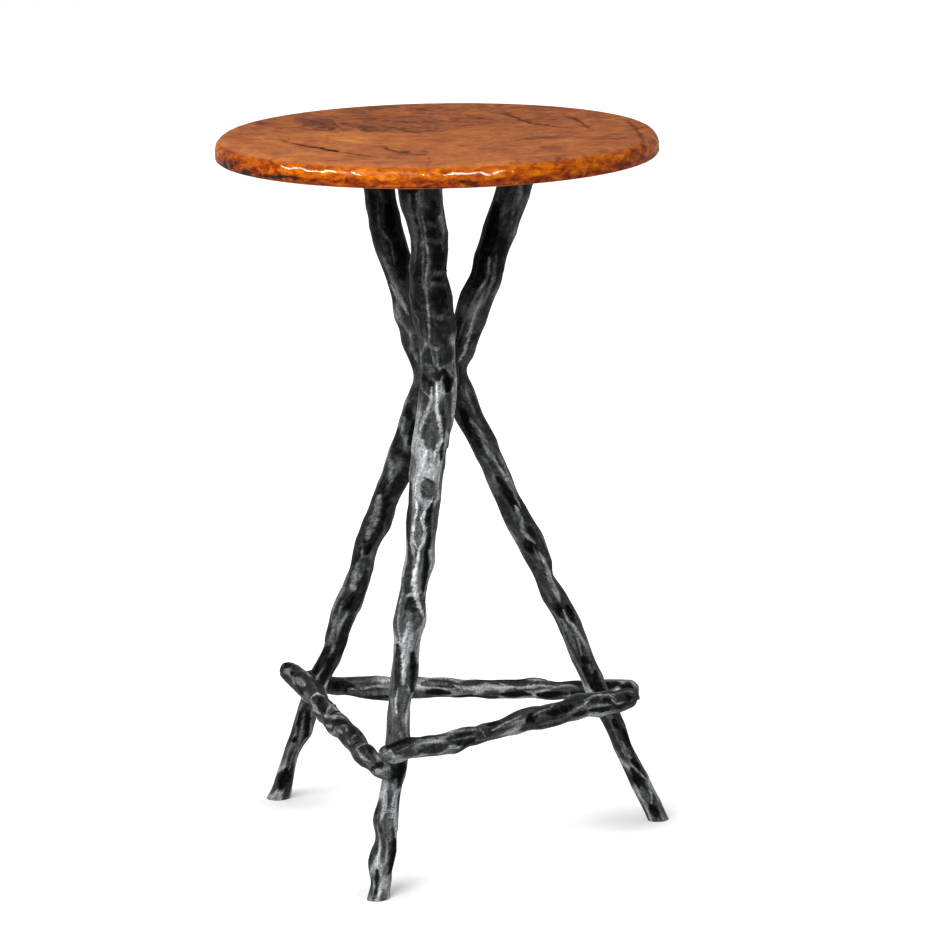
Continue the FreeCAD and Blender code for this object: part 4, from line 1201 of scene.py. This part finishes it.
def lacquered_wood(name):
    """Figured wood from dark brown to gold: a burl of fine flecks and slow clouds, dark checks, and a
    mottled, more golden rim, under a gloss that is thickest on the rim. The face's colours are greyed,
    most in blue, by a painted reflection of the pale room, which stands in for the gloss kept thin there."""
    material, tree, surface = new_material(name)
    rim_share = attribute(tree, "rim")
    figure = attribute(tree, "figure", "Vector")
    check = attribute(tree, "check", "Vector")
    place = shader_node(tree, "ShaderNodeTexCoord").outputs["Object"]
    fleck = noise(tree, place, 120.0, 7.0, 0.70, 0.9)
    level = moved(tree, attribute(tree, "gold"), noise(tree, figure, 64.0, 8.0, 0.60, 1.4), 1.1)
    level = moved(tree, level, noise(tree, figure, 24.0, 4.0, 0.50, 1.8), 0.75)
    level = moved(tree, level, fleck, 0.8)
    # The face's colours: wood from dark brown to gold, greyed most in blue by a painted reflection of the
    # pale room
    face_and_sheen = colour_steps(tree, level, (
        (0.0, 0.118, 0.046, 0.030), (0.25, 0.272, 0.086, 0.040), (0.50, 0.428, 0.136, 0.048),
        (0.75, 0.548, 0.190, 0.052), (1.0, 0.668, 0.284, 0.066),
    ))
    mottle = noise(tree, stretched(tree, place, (0.45, 0.45, 1.0)), 210.0, 7.0, 0.70, 0.5)
    edge = colour_steps(tree, moved(tree, attribute(tree, "rim_gold"), mottle, 2.0), (
        (0.0, 0.020, 0.010, 0.006), (0.08, 0.120, 0.016, 0.001), (0.32, 0.310, 0.044, 0.000),
        (0.60, 0.560, 0.130, 0.000), (0.95, 0.760, 0.275, 0.008),
    ))
    wood = mix_colours(tree, smooth_range(tree, rim_share, 0.50, 0.78), face_and_sheen, edge)
    across = shader_node(tree, "ShaderNodeVectorMath", {0: check, 1: (1.0, 1.0, 0.0)}, operation="MULTIPLY")
    distance = shader_node(tree, "ShaderNodeVectorMath", {0: across.outputs[0]}, operation="LENGTH")
    narrow = value_range(tree, noise(tree, place, 70.0, 2.0), 0.35, 0.65, 0.5, 1.4)
    distance = math_node(tree, "MULTIPLY", distance.outputs["Value"], narrow)
    depth = shader_node(tree, "ShaderNodeSeparateXYZ", {0: check}).outputs[2]
    near, nearby = [math_node(tree, "SUBTRACT", 1.0, smooth_range(tree, distance, *sides))
                    for sides in (check_dark_sides, check_shade_sides)]
    open_check = math_node(tree, "MULTIPLY", near, depth)
    shade = math_node(tree, "MULTIPLY", nearby, depth, 0.35)
    dark = math_node(tree, "MAXIMUM", open_check, shade)
    relief = math_node(tree, "SUBTRACT", math_node(tree, "MULTIPLY", fleck, 0.35), open_check)
    fill_sockets(tree, surface, {
        "Base Color": mix_colours(tree, dark, wood, (0.050, 0.016, 0.004, 1.0)),
        "Roughness": 0.45,
        "Specular IOR Level": 0.0,
        "Coat Weight": value_range(tree, rim_share, 0.35, 0.75, 0.015, 0.15),
        "Coat Roughness": 0.05,
        "Normal": bump(tree, relief, 0.35, wood_relief),
    })
    return material


slab.data.materials.append(lacquered_wood("lacquered_wood"))
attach(slab, "root")
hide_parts("table_top")

# Floor, light and air: a plain white studio. The floor and the air glow to the camera so that they read
# white, and the floor still takes the table's shadow. The floor's glow is weakest by the feet, which adds
# painted shade there, and stronger farther off, which paints the shadow out. A soft lamp stands to the
# left of the camera, and two strips of light show in the slab's gloss alone.
floor_half = 6.0

# The floor glows least, as painted shade, round a spot at a share of each foot's reach
foot_shade_share = 0.91

# Bearing to the right from the camera's side, rise from the level, distance from the point that the lamps
# face, width, length and power
lamp_aim = (0.0, 0.0, 0.4)
key_lamp_sizes = (-28.0, 36.0, 2.6, 1.6, 1.6, 60.0)
strip_sizes = {
    "left_strip": (-69.0, 32.0, 5.0, 3.6, 0.6, 1000.0),
    "right_strip": (20.0, 33.0, 5.0, 2.7, 1.0, 1260.0),
}


def seen_share(tree):
    """1 for rays that the camera sees straight, in a mirror or through glass, 0 for other rays."""
    path = shader_node(tree, "ShaderNodeLightPath")
    rays = [path.outputs[kind] for kind in ("Is Glossy Ray", "Is Transmission Ray", "Is Camera Ray")]
    return math_node(tree, "MAXIMUM", *rays)


floor_signs = ((-1, -1), (1, -1), (1, 1), (-1, 1))
floor_corners = [(side * floor_half, end * floor_half, 0) for side, end in floor_signs]
floor_mesh = bpy.data.meshes.new("floor")
floor_mesh.from_pydata(floor_corners, [], [(0, 1, 2, 3)])
floor = add_object("floor", floor_mesh)
floor_material, tree, surface = new_material("white_floor")
fill_sockets(tree, surface, {
    "Base Color": (0.82, 0.82, 0.82, 1.0),
    "Roughness": 0.9,
    "Specular IOR Level": 0.0,
})
place = shader_node(tree, "ShaderNodeTexCoord").outputs["Object"]
far = 1.0
for sizes in leg_sizes.values():
    foot = polar(sizes["reaches"][0] * foot_shade_share, sizes["bearings_deg"][0], 0.0)
    foot_away = shader_node(tree, "ShaderNodeVectorMath", {0: place, 1: foot.tolist()}, operation="DISTANCE")
    far = math_node(tree, "MINIMUM", foot_away.outputs["Value"], far)
# Glow by distance from the nearest foot spot: the low glow near it is painted shade, and the high glow
# farther off paints the table's shadow out
glow_and_painted_shade = colour_steps(tree, far, (
    (0.0, 0.16, 0.16, 0.16), (0.02, 0.22, 0.22, 0.22), (0.05, 0.42, 0.42, 0.42), (0.10, 0.58, 0.58, 0.58),
    (0.9, 0.8, 0.8, 0.8),
))
glow = shader_node(tree, "ShaderNodeEmission", {"Color": glow_and_painted_shade, "Strength": seen_share(tree)})
both = shader_node(tree, "ShaderNodeAddShader", {0: surface.outputs[0], 1: glow.outputs[0]})
fill_sockets(tree, tree.nodes["Material Output"], {"Surface": both.outputs[0]})
floor_mesh.materials.append(floor_material)

world = bpy.data.worlds.new("studio")
bpy.context.scene.world = world
world.use_nodes = True
tree = world.node_tree
fill_sockets(tree, tree.nodes["Background"], {
    "Color": (1.0, 1.0, 1.0, 1.0),
    "Strength": value_range(tree, seen_share(tree), 0.0, 1.0, 0.52, 1.0),
})


def studio_lamp(name, bearing_deg, rise_deg, distance, width, length, power):
    """Area lamp that faces the lamps' aim. Its width lies level and its length stands up."""
    bearing = math.radians(bearing_deg)
    rise = math.radians(rise_deg)
    across = np.array((math.cos(bearing), math.sin(bearing), 0.0))
    level = np.array((math.sin(bearing), -math.cos(bearing), 0.0))
    facing = level * math.cos(rise) + np.array((0.0, 0.0, math.sin(rise)))
    lamp = bpy.data.lights.new(name, "AREA")
    lamp.shape = "RECTANGLE"
    lamp.size = width
    lamp.size_y = length
    lamp.energy = power
    made = add_object(name, lamp)
    made.matrix_world = turned_matrix(across, np.cross(facing, across), facing, lamp_aim + facing * distance)
    return made


studio_lamp("key_lamp", *key_lamp_sizes)
slab_gloss = bpy.data.collections.new("slab_gloss")
slab_gloss.objects.link(slab)
for name, sizes in strip_sizes.items():
    strip = studio_lamp(name, *sizes)
    strip.visible_diffuse = False
    strip.visible_camera = False
    strip.light_linking.receiver_collection = slab_gloss

bpy.context.scene.view_settings.view_transform = "Standard"
